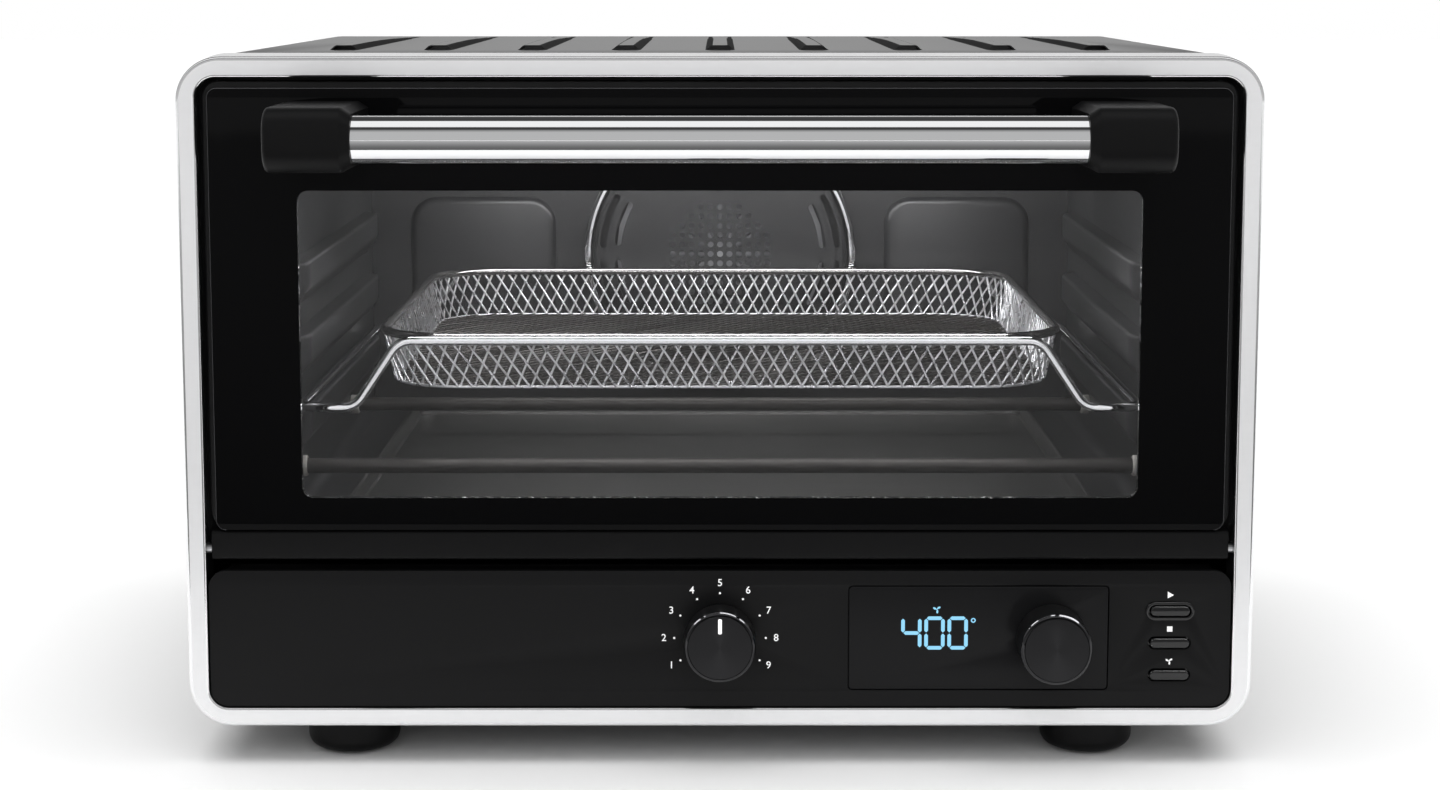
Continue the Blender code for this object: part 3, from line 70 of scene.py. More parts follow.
# ---- Sizes read from the CAD part ----
TRIM_LOW, TRIM_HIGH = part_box("front_trim_frame")
FASCIA_LOW, FASCIA_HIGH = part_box("control_fascia")
GLASS_LOW, GLASS_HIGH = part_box("door_glass")
DOOR_LOW, DOOR_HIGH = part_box("door_frame")
RAIL_LOW, RAIL_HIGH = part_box("door_rail")
COVER_LOW, COVER_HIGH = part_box("wrap_cover")
PANEL_LOW, PANEL_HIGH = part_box("back_panel")
BAR_LOW, BAR_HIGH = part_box("handle_bar")
SCREEN_LOW, SCREEN_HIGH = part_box("display_window")
LINER_LOW, LINER_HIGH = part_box("cavity_liner")
WALL_LOW, WALL_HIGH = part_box("cavity_back_wall")
GUARD_LOW, GUARD_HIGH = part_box("fan_cover")
RING_LOW, RING_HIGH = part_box("fan_cover_ring")
BASKET_LOW, BASKET_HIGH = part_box("fry_basket")
WIRE_LOW, WIRE_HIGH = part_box("basket_support")
TRAY_LOW, TRAY_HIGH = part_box("crumb_tray")

FRONT = TRIM_LOW.y
FLARE = 0.0010
OPENING_X = FASCIA_HIGH.x + 0.0005
OPENING_LOW = FASCIA_LOW.z - 0.0004
OPENING_HIGH = DOOR_HIGH.z + 0.0016
TRIM_X = TRIM_HIGH.x - FLARE
TRIM_TOP = TRIM_HIGH.z - FLARE
BODY_CORNER = 0.020
SHEET = 0.001
KNOB_Z = (SCREEN_LOW.z + SCREEN_HIGH.z) / 2
DIAL_X = sum(corner.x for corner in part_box("temperature_knob")) / 2
WINDOW_X = GLASS_HIGH.x - 0.0352
WINDOW_LOW = GLASS_LOW.z + 0.0133
WINDOW_HIGH = GLASS_HIGH.z - 0.0408
CAVITY_X = WALL_HIGH.x - SHEET
CAVITY_LOW = WALL_LOW.z + SHEET
CAVITY_HIGH = WALL_HIGH.z - SHEET
FAN_Z = (GUARD_LOW.z + GUARD_HIGH.z) / 2
BAR_Y = (BAR_LOW.y + BAR_HIGH.y) / 2
BAR_Z = (BAR_LOW.z + BAR_HIGH.z) / 2
BAR_RADIUS = (BAR_HIGH.z - BAR_LOW.z) / 2
BUTTON_X = sum(corner.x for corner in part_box("start_button")) / 2


def at(depth):
    return FRONT + depth


# ---- Materials ----
def node(tree, kind, **settings):
    made = tree.nodes.new("ShaderNode" + kind)
    for name, value in settings.items():
        setattr(made, name, value)
    return made


def material(name, colour, roughness, metallic=0.0, vary=0.06, rough_vary=0.05, bump=0.0, scale=60.0,
             stretch=(1.0, 1.0, 1.0), detail=3.0, texture="noise", radial=False, **sockets):
    """A Principled material whose colour, roughness and surface follow a noise in object space."""
    made = bpy.data.materials.new(name)
    made.use_nodes = True
    tree = made.node_tree
    shader = tree.nodes["Principled BSDF"]
    link = tree.links.new
    coords = node(tree, "TexCoord")
    mapping = node(tree, "Mapping")
    mapping.inputs["Scale"].default_value = stretch
    link(coords.outputs["Object"], mapping.inputs["Vector"])
    if texture == "noise":
        grain = node(tree, "TexNoise")
        grain.inputs["Detail"].default_value = detail
        value = grain.outputs["Fac"]
    else:
        grain = node(tree, "TexVoronoi")
        value = grain.outputs["Distance"]
    grain.inputs["Scale"].default_value = scale
    link(mapping.outputs["Vector"], grain.inputs["Vector"])
    tint = node(tree, "MixRGB")
    tint.inputs["Color1"].default_value = (*[max(0.0, c * (1 - vary)) for c in colour], 1.0)
    tint.inputs["Color2"].default_value = (*[min(1.0, c * (1 + vary)) for c in colour], 1.0)
    link(value, tint.inputs["Fac"])
    link(tint.outputs["Color"], shader.inputs["Base Color"])
    spread = node(tree, "MapRange")
    spread.inputs["To Min"].default_value = max(0.01, roughness - rough_vary)
    spread.inputs["To Max"].default_value = roughness + rough_vary
    link(value, spread.inputs["Value"])
    link(spread.outputs["Result"], shader.inputs["Roughness"])
    if bump:
        relief = node(tree, "Bump")
        relief.inputs["Strength"].default_value = 0.6
        relief.inputs["Distance"].default_value = bump
        link(value, relief.inputs["Height"])
        link(relief.outputs["Normal"], shader.inputs["Normal"])
    if radial:
        tangent = node(tree, "Tangent", direction_type="RADIAL", axis="Y")
        link(tangent.outputs["Tangent"], shader.inputs["Tangent"])
    shader.inputs["Metallic"].default_value = metallic
    for socket, setting in sockets.items():
        shader.inputs[socket.replace("_", " ")].default_value = setting
    made.diffuse_color = (*colour, 1.0)
    return made


MATERIALS = {
    "trim_satin": material("trim_satin", (0.84, 0.84, 0.85), 0.34, 0.45, 0.015, 0.04, 0.000004, 900.0,
                           (0.15, 1.0, 1.0)),
    "trim_polish": material("trim_polish", (0.86, 0.86, 0.87), 0.12, 1.0, 0.01, 0.03, scale=80.0),
    "trim_side": material("trim_side", (0.70, 0.70, 0.71), 0.26, 1.0, 0.015, 0.03, scale=80.0),
    "chrome": material("chrome", (0.86, 0.865, 0.875), 0.045, 1.0, 0.01, 0.015, scale=40.0),
    "wire": material("wire", (0.80, 0.80, 0.82), 0.28, 0.7, 0.04, 0.05, scale=180.0),
    "floor_wire": material("floor_wire", (0.16, 0.15, 0.145), 0.34, 0.9, 0.10, 0.05, scale=180.0),
    "rim_wire": material("rim_wire", (0.36, 0.35, 0.345), 0.18, 1.0, 0.03, 0.04, scale=120.0),
    # Painted highlight: a lighter grey for the glass border's front bevel.
    "glass_edge_highlight": material("glass_edge_highlight", (0.10, 0.10, 0.105), 0.18, 0.3, 0.03, 0.03, scale=60.0),
    # Painted shade: a darker, duller copy of the powder paint for the ribs' shoulders.
    "shoulder": material("shoulder", (0.009, 0.009, 0.0093), 0.85, 0.0, 0.08, 0.04, 0.00002, 1400.0,
                         Specular_IOR_Level=0.05),
    "steel": material("steel", (0.60, 0.60, 0.61), 0.30, 1.0, 0.04, 0.06, scale=240.0),
    "powder": material("powder", (0.014, 0.014, 0.0145), 0.37, 0.0, 0.08, 0.04, 0.00002, 1400.0,
                       Specular_IOR_Level=0.4),
    # Dark inner paint for the door panel and the liner's mouth; on the screw heads it is painted shade in the cross
    # recesses.
    "inner_paint_and_recess_shade": material("inner_paint_and_recess_shade", (0.007, 0.007, 0.0074), 0.42, 0.0, 0.06, 0.04, 0.00001, 1200.0,
                            Specular_IOR_Level=0.25),
    "textured_black": material("textured_black", (0.0035, 0.0035, 0.0037), 0.44, 0.0, 0.10, 0.05, 0.00006, 1500.0,
                               Specular_IOR_Level=0.13),
    "fascia_black": material("fascia_black", (0.0050, 0.0050, 0.0053), 0.38, 0.0, 0.06, 0.03, 0.00002, 1800.0,
                             Specular_IOR_Level=0.14),
    "knob_black": material("knob_black", (0.006, 0.006, 0.0063), 0.32, 0.0, 0.06, 0.03, 0.00001, 1500.0,
                           Specular_IOR_Level=0.3),
    "dark_chrome": material("dark_chrome", (0.045, 0.045, 0.047), 0.10, 1.0, 0.02, 0.02, scale=90.0),
    "spun": material("spun", (0.026, 0.026, 0.0272), 0.20, 1.0, 0.05, 0.03, scale=500.0, radial=True,
                     Anisotropic=0.85),
    "gloss_black": material("gloss_black", (0.0022, 0.0022, 0.0024), 0.04, 0.0, 0.05, 0.01, scale=30.0, IOR=1.33,
                            Specular_IOR_Level=0.12),
    "screen_black": material("screen_black", (0.0075, 0.0075, 0.0080), 0.20, 0.0, 0.05, 0.02, scale=60.0, IOR=1.35,
                             Specular_IOR_Level=0.20),
    "pill_black": material("pill_black", (0.006, 0.006, 0.0065), 0.12, 0.0, 0.05, 0.02, scale=60.0),
    "window_glass": material("window_glass", (0.80, 0.80, 0.81), 0.015, 0.0, 0.01, 0.003, scale=15.0, IOR=1.28,
                             Transmission_Weight=1.0),
    "enamel": material("enamel", (0.025, 0.025, 0.026), 0.34, 0.0, 0.14, 0.05, 0.000004, 700.0),
    "guard": material("guard", (0.022, 0.022, 0.0228), 0.36, 0.0, 0.12, 0.05, 0.000004, 700.0),
    "blade": material("blade", (0.34, 0.34, 0.35), 0.42, 1.0, 0.05, 0.06, scale=150.0),
    "tray": material("tray", (0.13, 0.128, 0.125), 0.36, 0.8, 0.05, 0.03, scale=60.0, stretch=(0.2, 1, 1)),
    "aluminium": material("aluminium", (0.55, 0.55, 0.56), 0.36, 1.0, 0.04, 0.06, scale=150.0),
    # Heater sheath: the rods' own dark grey, made darker still as painted shade.
    "sheath_with_painted_shade": material("sheath_with_painted_shade", (0.070, 0.066, 0.063), 0.46, 0.6, 0.20, 0.06, 0.00002, 160.0),
    "ceramic": material("ceramic", (0.62, 0.60, 0.56), 0.55, 0.0, 0.08, 0.05, 0.00003, 500.0),
    "rubber": material("rubber", (0.014, 0.014, 0.014), 0.72, 0.0, 0.10, 0.06, 0.00003, 700.0),
    "board": material("board", (0.015, 0.085, 0.035), 0.45, 0.0, 0.25, 0.06, 0.00002, 300.0),
    # White print with a painted glow: its emission makes the marks glow.
    "print_white_painted_glow": material("print_white_painted_glow", (0.80, 0.80, 0.80), 0.55, 0.0, 0.02, 0.03, scale=400.0,
                            Emission_Color=(1, 1, 1, 1), Emission_Strength=0.25),
    # The knob's white pointer line, with a painted glow from its emission.
    "pointer_painted_glow": material("pointer_painted_glow", (0.85, 0.85, 0.85), 0.45, 0.0, 0.02, 0.03, scale=400.0,
                        Emission_Color=(1, 1, 1, 1), Emission_Strength=0.35),
    "lit": material("lit", (0.02, 0.03, 0.04), 0.40, 0.0, 0.05, 0.03, scale=200.0,
                    Emission_Color=(0.28, 0.68, 0.95, 1), Emission_Strength=1.0),
    "floor": material("floor", (0.86, 0.86, 0.86), 0.70, 0.0, 0.008, 0.03, scale=3.0, Specular_IOR_Level=0.1),
}


# ---- Mesh helpers ----
def corner_arc(a, b, radius, first, segments):
    """A quarter turn about (a, b) from the angle first."""
    turns = [first + step * math.pi / 2 / segments for step in range(segments + 1)]
    return [(a + radius * math.cos(turn), b + radius * math.sin(turn)) for turn in turns]


def rounded(low_a, high_a, low_b, high_b, radius, segments=12):
    """A rectangle with round corners, anticlockwise."""
    quarter = math.pi / 2
    return (
        corner_arc(high_a - radius, high_b - radius, radius, 0, segments)
        + corner_arc(low_a + radius, high_b - radius, radius, quarter, segments)
        + corner_arc(low_a + radius, low_b + radius, radius, 2 * quarter, segments)
        + corner_arc(high_a - radius, low_b + radius, radius, 3 * quarter, segments)
    )


def circle(a, b, radius, segments=48):
    turn = 2 * math.pi / segments
    return [(a + radius * math.cos(i * turn), b + radius * math.sin(i * turn)) for i in range(segments)]


def stadium(x, z, length, height, segments=10):
    return rounded(x - length / 2, x + length / 2, z - height / 2, z + height / 2, height / 2 * 0.99, segments)


def smooth(mesh, degrees=32):
    mesh.shade_smooth()
    mesh.set_sharp_from_angle(angle=math.radians(degrees))


def new_object(name, mesh, *looks, degrees=32):
    for look in looks:
        mesh.materials.append(MATERIALS[look])
    obj = bpy.data.objects.new(name, mesh)
    bpy.context.scene.collection.objects.link(obj)
    smooth(mesh, degrees)
    return obj


def from_bmesh(name, bm, *looks, degrees=32):
    bmesh.ops.recalc_face_normals(bm, faces=bm.faces)
    mesh = bpy.data.meshes.new(name)
    bm.to_mesh(mesh)
    bm.free()
    return new_object(name, mesh, *looks, degrees=degrees)


def skin(bm, loops, closed=False, caps=True, looks=None):
    """A skin through loops of equally many points. looks gives each band's material number."""
    rows = [[bm.verts.new(point) for point in loop] for loop in loops]
    pairs = list(zip(rows, rows[1:]))
    if closed:
        pairs.append((rows[-1], rows[0]))
    elif caps:
        bm.faces.new(rows[0][::-1])
        bm.faces.new(rows[-1])
    for band, (first, second) in enumerate(pairs):
        count = len(first)
        for i in range(count):
            face = bm.faces.new((first[i], first[(i + 1) % count], second[(i + 1) % count], second[i]))
            if looks:
                face.material_index = looks[band]


def loft(name, loops, *looks, closed=False, bands=None, degrees=32):
    bm = bmesh.new()
    skin(bm, loops, closed, True, bands)
    return from_bmesh(name, bm, *looks, degrees=degrees)


def upright(outline, depth):
    return [(x, at(depth), z) for x, z in outline]


AIM = {
    "front": Matrix.Rotation(math.pi / 2, 4, "X"),
    "back": Matrix.Rotation(-math.pi / 2, 4, "X"),
    "right": Matrix.Rotation(math.pi / 2, 4, "Y"),
    "up": Matrix.Identity(4),
}


def lathe(bm, profile, place, aim, steps=64, bands=None, ridges=None, closed=False):
    """A profile of (radius, height) turned about an axis. ridges maps a profile point to a knurl's depth."""
    turn = Matrix.Translation(place) @ AIM[aim]
    loops = []
    for number, (radius, height) in enumerate(profile):
        depth = (ridges or {}).get(number, 0.0)
        loop = []
        for i in range(steps):
            angle = 2 * math.pi * i / steps
            reach = max(radius - depth * (i % 2), 0.00001)
            loop.append(turn @ Vector((reach * math.cos(angle), reach * math.sin(angle), height)))
        loops.append(loop)
    skin(bm, loops, closed, True, bands)


def turned(name, profile, place, aim, *looks, steps=64, bands=None, ridges=None, closed=False, degrees=32):
    bm = bmesh.new()
    lathe(bm, profile, place, aim, steps, bands, ridges, closed)
    return from_bmesh(name, bm, *looks, degrees=degrees)


def curve_mesh(curve, name, *looks, degrees=32):
    """The curve as a welded mesh object."""
    source = bpy.data.objects.new(name, curve)
    bpy.context.scene.collection.objects.link(source)
    bpy.context.view_layer.update()
    graph = bpy.context.evaluated_depsgraph_get()
    mesh = bpy.data.meshes.new_from_object(source.evaluated_get(graph))
    mesh.materials.clear()
    bpy.data.objects.remove(source, do_unlink=True)
    bm = bmesh.new()
    bm.from_mesh(mesh)
    bmesh.ops.remove_doubles(bm, verts=bm.verts, dist=1e-6)
    bpy.data.meshes.remove(mesh)
    return bm


FACING = {
    "Y": Matrix(((1, 0, 0), (0, 0, -1), (0, 1, 0))).to_4x4(),
    "Z": Matrix.Identity(4),
    "X": Matrix(((0, 0, 1), (1, 0, 0), (0, 1, 0))).to_4x4(),
}


def plate_bmesh(outlines, low, high, axis="Y", edge=0.0, steps=2):
    """A flat outline with holes in it, from low to high along the axis, its edges rounded."""
    curve = bpy.data.curves.new("plate", "CURVE")
    curve.dimensions = "2D"
    curve.fill_mode = "BOTH"
    curve.extrude = (high - low) / 2 - edge
    curve.bevel_depth = edge
    curve.bevel_resolution = steps
    curve.offset = -edge
    for number, outline in enumerate(outlines):
        points = outline if number == 0 else outline[::-1]
        spline = curve.splines.new("POLY")
        spline.points.add(len(points) - 1)
        for point, (a, b) in zip(spline.points, points):
            point.co = (a, b, 0, 1)
        spline.use_cyclic_u = True
    bm = curve_mesh(curve, "plate")
    middle = Vector((0, 0, 0))
    middle["XYZ".index(axis)] = (low + high) / 2
    bm.transform(Matrix.Translation(middle) @ FACING[axis])
    return bm


def plate(name, outlines, low, high, *looks, axis="Y", edge=0.0, steps=2, degrees=32):
    return from_bmesh(name, plate_bmesh(outlines, low, high, axis, edge, steps), *looks, degrees=degrees)


def wires(name, paths, radius, look, closed=(), sides=1):
    """Round wires along paths of points."""
    curve = bpy.data.curves.new(name, "CURVE")
    curve.dimensions = "3D"
    curve.bevel_depth = radius
    curve.bevel_resolution = sides
    curve.use_fill_caps = True
    for number, path in enumerate(paths):
        spline = curve.splines.new("POLY")
        spline.points.add(len(path) - 1)
        for point, place in zip(spline.points, path):
            point.co = (*place, 1)
        spline.use_cyclic_u = number in closed
    bm = curve_mesh(curve, name)
    return from_bmesh(name, bm, look, degrees=60)


def merged(name, objects, degrees=32):
    """Several objects as one, their materials kept."""
    bpy.context.view_layer.update()
    bm = bmesh.new()
    looks = []
    for obj in objects:
        start = len(bm.faces)
        bm.from_mesh(obj.data)
        bm.faces.ensure_lookup_table()
        numbers = []
        for used in obj.data.materials:
            if used not in looks:
                looks.append(used)
            numbers.append(looks.index(used))
        for face in bm.faces[start:]:
            face.material_index = numbers[face.material_index]
        bpy.data.objects.remove(obj, do_unlink=True)
    mesh = bpy.data.meshes.new(name)
    bm.to_mesh(mesh)
    bm.free()
    for look in looks:
        mesh.materials.append(look)
    obj = bpy.data.objects.new(name, mesh)
    bpy.context.scene.collection.objects.link(obj)
    smooth(mesh, degrees)
    return obj


def combine(obj, other, operation):
    """A Boolean, applied at once."""
    modifier = obj.modifiers.new("combine", "BOOLEAN")
    modifier.solver = "EXACT"
    modifier.operation = operation
    modifier.object = other
    bpy.context.view_layer.update()
    graph = bpy.context.evaluated_depsgraph_get()
    mesh = bpy.data.meshes.new_from_object(obj.evaluated_get(graph))
    obj.modifiers.clear()
    obj.data = mesh
    bpy.data.objects.remove(other, do_unlink=True)
    smooth(mesh)
    return obj


def filleted(points, radius, segments):
    """The closed path through these points with each corner rounded."""
    path = []
    count = len(points)
    for i in range(count):
        before, here, after = points[i - 1], points[i], points[(i + 1) % count]
        arrive, leave = (here - before).normalized(), (after - here).normalized()
        trim = radius * math.tan(arrive.angle(leave) / 2)
        start, end = here - arrive * trim, here + leave * trim
        for step in range(segments + 1):
            t = step / segments
            path.append((1 - t) ** 2 * start + 2 * t * (1 - t) * here + t**2 * end)
    return path


def show(obj, body, slot, *nodes):
    """The piece rides on the body and stands for the CAD nodes. The slot is not used."""
    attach(obj, body)
    if nodes:
        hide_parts(*nodes)
    return obj


def keep(look, slot, *names):
    """CAD nodes shown as they are, with a new material."""
    for name in names:
        obj = NODES[name]
        obj.data.materials.clear()
        obj.data.materials.append(MATERIALS[look])


# ---- Outer body ----
def trim():
    """The bright surround: a satin face between two polished edges, and a flared polished side."""
    depth = TRIM_HIGH.y - TRIM_LOW.y
    bottom = TRIM_LOW.z

    def ring(grow, inset, corner, inner):
        if inner:
            outline = rounded(-OPENING_X - grow, OPENING_X + grow, OPENING_LOW - grow, OPENING_HIGH + grow, corner, 16)
        else:
            low = bottom - min(grow, 0.0)
            outline = rounded(-TRIM_X - grow, TRIM_X + grow, low, TRIM_TOP + grow, corner, 16)
        return upright(outline, inset)

    edge, inner_edge, turns = 0.0016, 0.0009, 6
    loops = [ring(0.0, depth, 0.008, True), ring(0.0, inner_edge + 0.0002, 0.008, True)]
    for step in range(turns + 1):
        angle = math.pi / 2 * step / turns
        grow = inner_edge * (1 - math.cos(angle))
        loops.append(ring(grow, inner_edge * (1 - math.sin(angle)), 0.008 + grow, True))
    for step in range(turns, -1, -1):
        angle = math.pi / 2 * step / turns
        shrink = edge * (1 - math.cos(angle))
        loops.append(ring(-shrink, edge * (1 - math.sin(angle)), 0.018 - shrink, False))
    loops += [
        ring(FLARE * 0.93, depth - 0.0014, 0.020, False),
        ring(FLARE, depth - 0.0006, 0.020, False),
        ring(FLARE - 0.0005, depth, 0.020, False),
    ]
    face, polish, side = 0, 1, 2
    bands = [side] + [polish] * (turns + 1) + [face] + [polish] * turns + [side] * 4
    obj = loft("trim_surround", loops, "trim_satin", "trim_polish", "trim_side", closed=True, bands=bands, degrees=28)
    show(obj, "root", "trim", "front_trim_frame")


RIB_START, RIB_HALF, RIB_TOP_HALF = 0.082, 0.00625, 0.0031
RIB_STATIONS = ((0.082, 1.0), (0.130, 1.0), (0.180, 0.92), (0.230, 0.68), (0.280, 0.34), (0.322, 0.02))


def rib_outline(x, base, surface, rise, inset=0.0):
    """A rib's cross-section: a flat top with S-shaped shoulders down to the sheet's surface."""
    half, top_half = RIB_HALF - inset, RIB_TOP_HALF - inset * 0.5
    steps = 8
    right = []
    for step in range(steps + 1):
        t = step / steps
        right.append((half + (top_half - half) * t, surface + rise * (0.5 - 0.5 * math.cos(math.pi * t)) ** 0.8))
    outline = [(x - half, base), (x + half, base)] + [(x + a, b) for a, b in right]
    return outline + [(x - a, b) for a, b in reversed(right)]


def cover():
    """The steel sheet round the top and sides, with nine raised ribs that open forward as scoops."""
    side = COVER_HIGH.x
    low, high = COVER_LOW.z, TRIM_TOP + 0.0003
    x, bottom, top = side - BODY_CORNER, low + BODY_CORNER, high - BODY_CORNER
    half = math.pi / 2

    def path(radius):
        points = [(x - 0.010, bottom - radius)]
        points += corner_arc(x, bottom, radius, 3 * half, 14) + corner_arc(x, top, radius, 0, 14)
        points += corner_arc(-x, top, radius, half, 14) + corner_arc(-x, bottom, radius, 2 * half, 14)
        return points + [(0.010 - x, bottom - radius)]

    outline = path(BODY_CORNER) + path(BODY_CORNER - SHEET)[::-1]
    obj = plate("wrap_sheet", [outline], COVER_LOW.y, COVER_HIGH.y, "powder", edge=0.0002, steps=1)
    rise = COVER_HIGH.z - high
    ribs, scoops = bmesh.new(), bmesh.new()
    for number in range(9):
        centre = (number - 4) * 0.040
        loops = [upright(rib_outline(centre, high - 0.0005, high, rise * share), depth) for depth, share in RIB_STATIONS]
        skin(ribs, loops)
        mouth = rib_outline(centre, high - 0.002, high - 0.0003, rise - 0.0001, 0.0005)
        skin(scoops, [upright(mouth, depth) for depth in (RIB_START - 0.001, RIB_START + 0.016)])
    combine(obj, from_bmesh("ribs", ribs, "powder"), "UNION")
    combine(obj, from_bmesh("scoops", scoops, "powder"), "DIFFERENCE")
    # The rib shoulders get the darker powder copy: painted shade along the ribs' sides.
    obj.data.materials.append(MATERIALS["shoulder"])
    for face in obj.data.polygons:
        if face.center.z > high - 0.0001 and abs(face.center.x) < x and 0.12 < abs(face.normal.x) < 0.95:
            face.material_index = len(obj.data.materials) - 1
    show(obj, "root", "black_paint", "wrap_cover")


def back():
    """The rear sheet with louvre slots, the motor housing's opening and its fixing screws."""
    low, high = PANEL_LOW, PANEL_HIGH
    outline = rounded(low.x, high.x, low.z, high.z, BODY_CORNER - 0.0003, 14)
    holes = [rounded(-0.081, 0.081, FAN_Z - 0.056, FAN_Z + 0.056, 0.008, 6)]
    middle = (0.095 + 0.217) / 2
    for side in (-1, 1):
        for row in range(8):
            z = FAN_Z + (row - 3.5) * 0.0125
            holes.append(stadium(side * middle, z, 0.060, 0.004, 6))
    gland_low, gland_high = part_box("cord_gland")
    gland = ((gland_low.x + gland_high.x) / 2, (gland_low.z + gland_high.z) / 2)
    holes.append(circle(*gland, 0.0053, 32))
    obj = plate("rear_sheet", [outline] + holes, low.y, high.y, "powder", edge=0.00025, steps=1)
    show(obj, "root", "black_paint", "back_panel")
    places = [(side * 0.203, z) for side in (-1, 1) for z in (0.060, 0.150, 0.245)]
    places += [(side * 0.118, z) for side in (-1, 1) for z in (0.271,)]
    bm = bmesh.new()
    for px, pz in places:
        screw_head(bm, (px, high.y - 0.0002, pz), "back", 0.0032, 0.0018)
    show(from_bmesh("rear_screws", bm, "steel", "inner_paint_and_recess_shade"), "root", "steel")


def screw_head(bm, place, aim, radius, height):
    """A domed head with a cross recess drawn as dark slots: painted shade where the recess is."""
    profile = [(radius, 0.0), (radius, height * 0.35), (radius * 0.86, height * 0.72), (radius * 0.55, height * 0.95),
               (0.00002, height)]
    lathe(bm, profile, place, aim, 24)
    for turn in (0.4, 0.4 + math.pi / 2):
        along = Vector((math.cos(turn), 0, math.sin(turn))) * radius * 0.55
        across = Vector((-math.sin(turn), 0, math.cos(turn))) * radius * 0.11
        way = Vector((0, 1 if aim == "back" else -1, 0))
        centre = Vector(place)
        low, high = centre + way * height * 0.7, centre + way * height * 1.02
        loop = [along + across, along - across, -along - across, -along + across]
        rows = [[bm.verts.new(base + corner) for corner in loop] for base in (low, high)]
        faces = [bm.faces.new(rows[0]), bm.faces.new(rows[1])]
        for i in range(4):
            j = (i + 1) % 4
            faces.append(bm.faces.new((rows[0][i], rows[0][j], rows[1][j], rows[1][i])))
        # The slots take the dark paint: painted shade in the recess.
        for face in faces:
            face.material_index = 1


def housing():
    """The pressed rear cover over the motor's cooling fan."""
    low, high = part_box("rear_fan_housing")
    width, height = high.x - low.x, high.z - low.z
    depth = high.y - low.y

    def outline(shrink, y, corner=0.012):
        points = rounded(-width / 2 + shrink, width / 2 - shrink, FAN_Z - height / 2 + shrink,
                         FAN_Z + height / 2 - shrink, corner, 8)
        return [(x, y, z) for x, z in points]

    skin_y = 0.0012
    loops = [
        outline(0.0078, high.y),
        outline(0.0066, high.y - 0.0003),
        outline(0.0058, high.y - 0.0012),
        outline(0.0, low.y),
        outline(skin_y, low.y),
        outline(0.0058 + skin_y, high.y - 0.0012 - skin_y),
    ]
    obj = loft("motor_housing", loops, "powder")
    bm = bmesh.new()
    for row in range(9):
        z = FAN_Z + (row - 4) * 0.011
        for side in (-1, 1):
            slot = stadium(side * 0.0375, z, 0.063, 0.0045, 6)
            skin(bm, [[(x, y, b) for x, b in slot] for y in (high.y - 0.004, high.y + 0.001)])
    combine(obj, from_bmesh("slots", bm, "powder"), "DIFFERENCE")
    show(obj, "root", "black_paint", "rear_fan_housing")


def feet():
    for name in ("front_left", "front_right", "rear_left", "rear_right"):
        low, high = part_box("foot_" + name)
        x, y = (low.x + high.x) / 2, (low.y + high.y) / 2
        radius = (high.x - low.x) / 2
        top = COVER_LOW.z - 0.0003
        bend, hem, recess = 0.0055, 0.0010, 0.0122
        profile = [(radius, top)]
        for step in range(7):
            turn = math.pi / 2 * step / 6
            profile.append((radius - bend * (1 - math.cos(turn)), hem + bend * (1 - math.sin(turn))))
        profile += [(recess, hem), (recess, 0.0044)]
        leg = turned("leg_" + name, profile, (x, y, 0), "up", "textured_black")
        show(leg, "root", "black_plastic", "foot_" + name)
        pad_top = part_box("foot_pad_" + name)[1].z
        radius = recess - 0.0003
        profile = [(radius, pad_top), (radius, 0.0010), (radius - 0.0003, 0.0003), (radius - 0.0010, 0.0),
                   (radius - 0.0040, 0.0), (radius - 0.0045, 0.0006)]
        show(turned("pad_" + name, profile, (x, y, 0), "up", "rubber"), "root", "rubber", "foot_pad_" + name)


# ---- Cavity ----
def guide_section(side, low, high, reach):
    """A rack guide's section, sloping out below and flat on top, with round edges."""
    wall = CAVITY_X + 0.0006
    face = CAVITY_X - reach
    slope = min(reach * 1.2, (high - low) * 0.45)
    bend = min(0.0018, reach * 0.4)
    points = [Vector((wall, low)), Vector((wall, high)), Vector((face, high)), Vector((face, low + slope)),
              Vector((CAVITY_X, low + slope * 0.05))]
    path = []
    for i, here in enumerate(points):
        if i < 2:
            path.append(here)
            continue
        before, after = points[i - 1], points[(i + 1) % len(points)]
        start = here + (before - here).normalized() * bend
        end = here + (after - here).normalized() * bend
        for step in range(5):
            t = step / 4
            path.append((1 - t) ** 2 * start + 2 * t * (1 - t) * here + t**2 * end)
    return [(side * point.x, point.y) for point in path]


def liner():
    """The enamelled oven box with three rack guides a side and a flange round its mouth."""
    inner = rounded(-CAVITY_X, CAVITY_X, CAVITY_LOW, CAVITY_HIGH, 0.006, 8)
    outer = rounded(-CAVITY_X - SHEET, CAVITY_X + SHEET, CAVITY_LOW - SHEET, CAVITY_HIGH + SHEET, 0.007, 8)
    front = LINER_LOW.y
    back_y = WALL_HIGH.y - SHEET - 0.0003
    back_y = min(LINER_HIGH.y, back_y)
    parts = [plate("box", [outer, inner], front + 0.0004, back_y, "enamel")]
    mouth = rounded(LINER_LOW.x, LINER_HIGH.x, FASCIA_HIGH.z + 0.002, COVER_HIGH.z - 0.0036, 0.019, 10)
    parts.append(plate("mouth", [mouth, inner], front, front + SHEET, "inner_paint_and_recess_shade", edge=0.0002, steps=1))
    guide_low, guide_high = 0.1185, 0.2015
    slot = 0.0095
    height = (guide_high - guide_low - 2 * slot) / 3
    rear = back_y - FRONT - 0.024
    stations = [(0.040, 0.0006), (0.043, 0.0022), (0.046, 0.0050), (0.050, 0.0072), (0.055, 0.008),
                (rear - 0.015, 0.008), (rear - 0.010, 0.0072), (rear - 0.006, 0.0050), (rear - 0.003, 0.0022),
                (rear, 0.0006)]
    for side in (-1, 1):
        for i in range(3):
            low = guide_low + i * (height + slot)
            loops = [upright(guide_section(side, low, low + height, reach), depth) for depth, reach in stations]
            parts.append(loft("guide", loops, "enamel"))
    show(merged("oven_box", parts, 40), "root", "enamel", "cavity_liner")


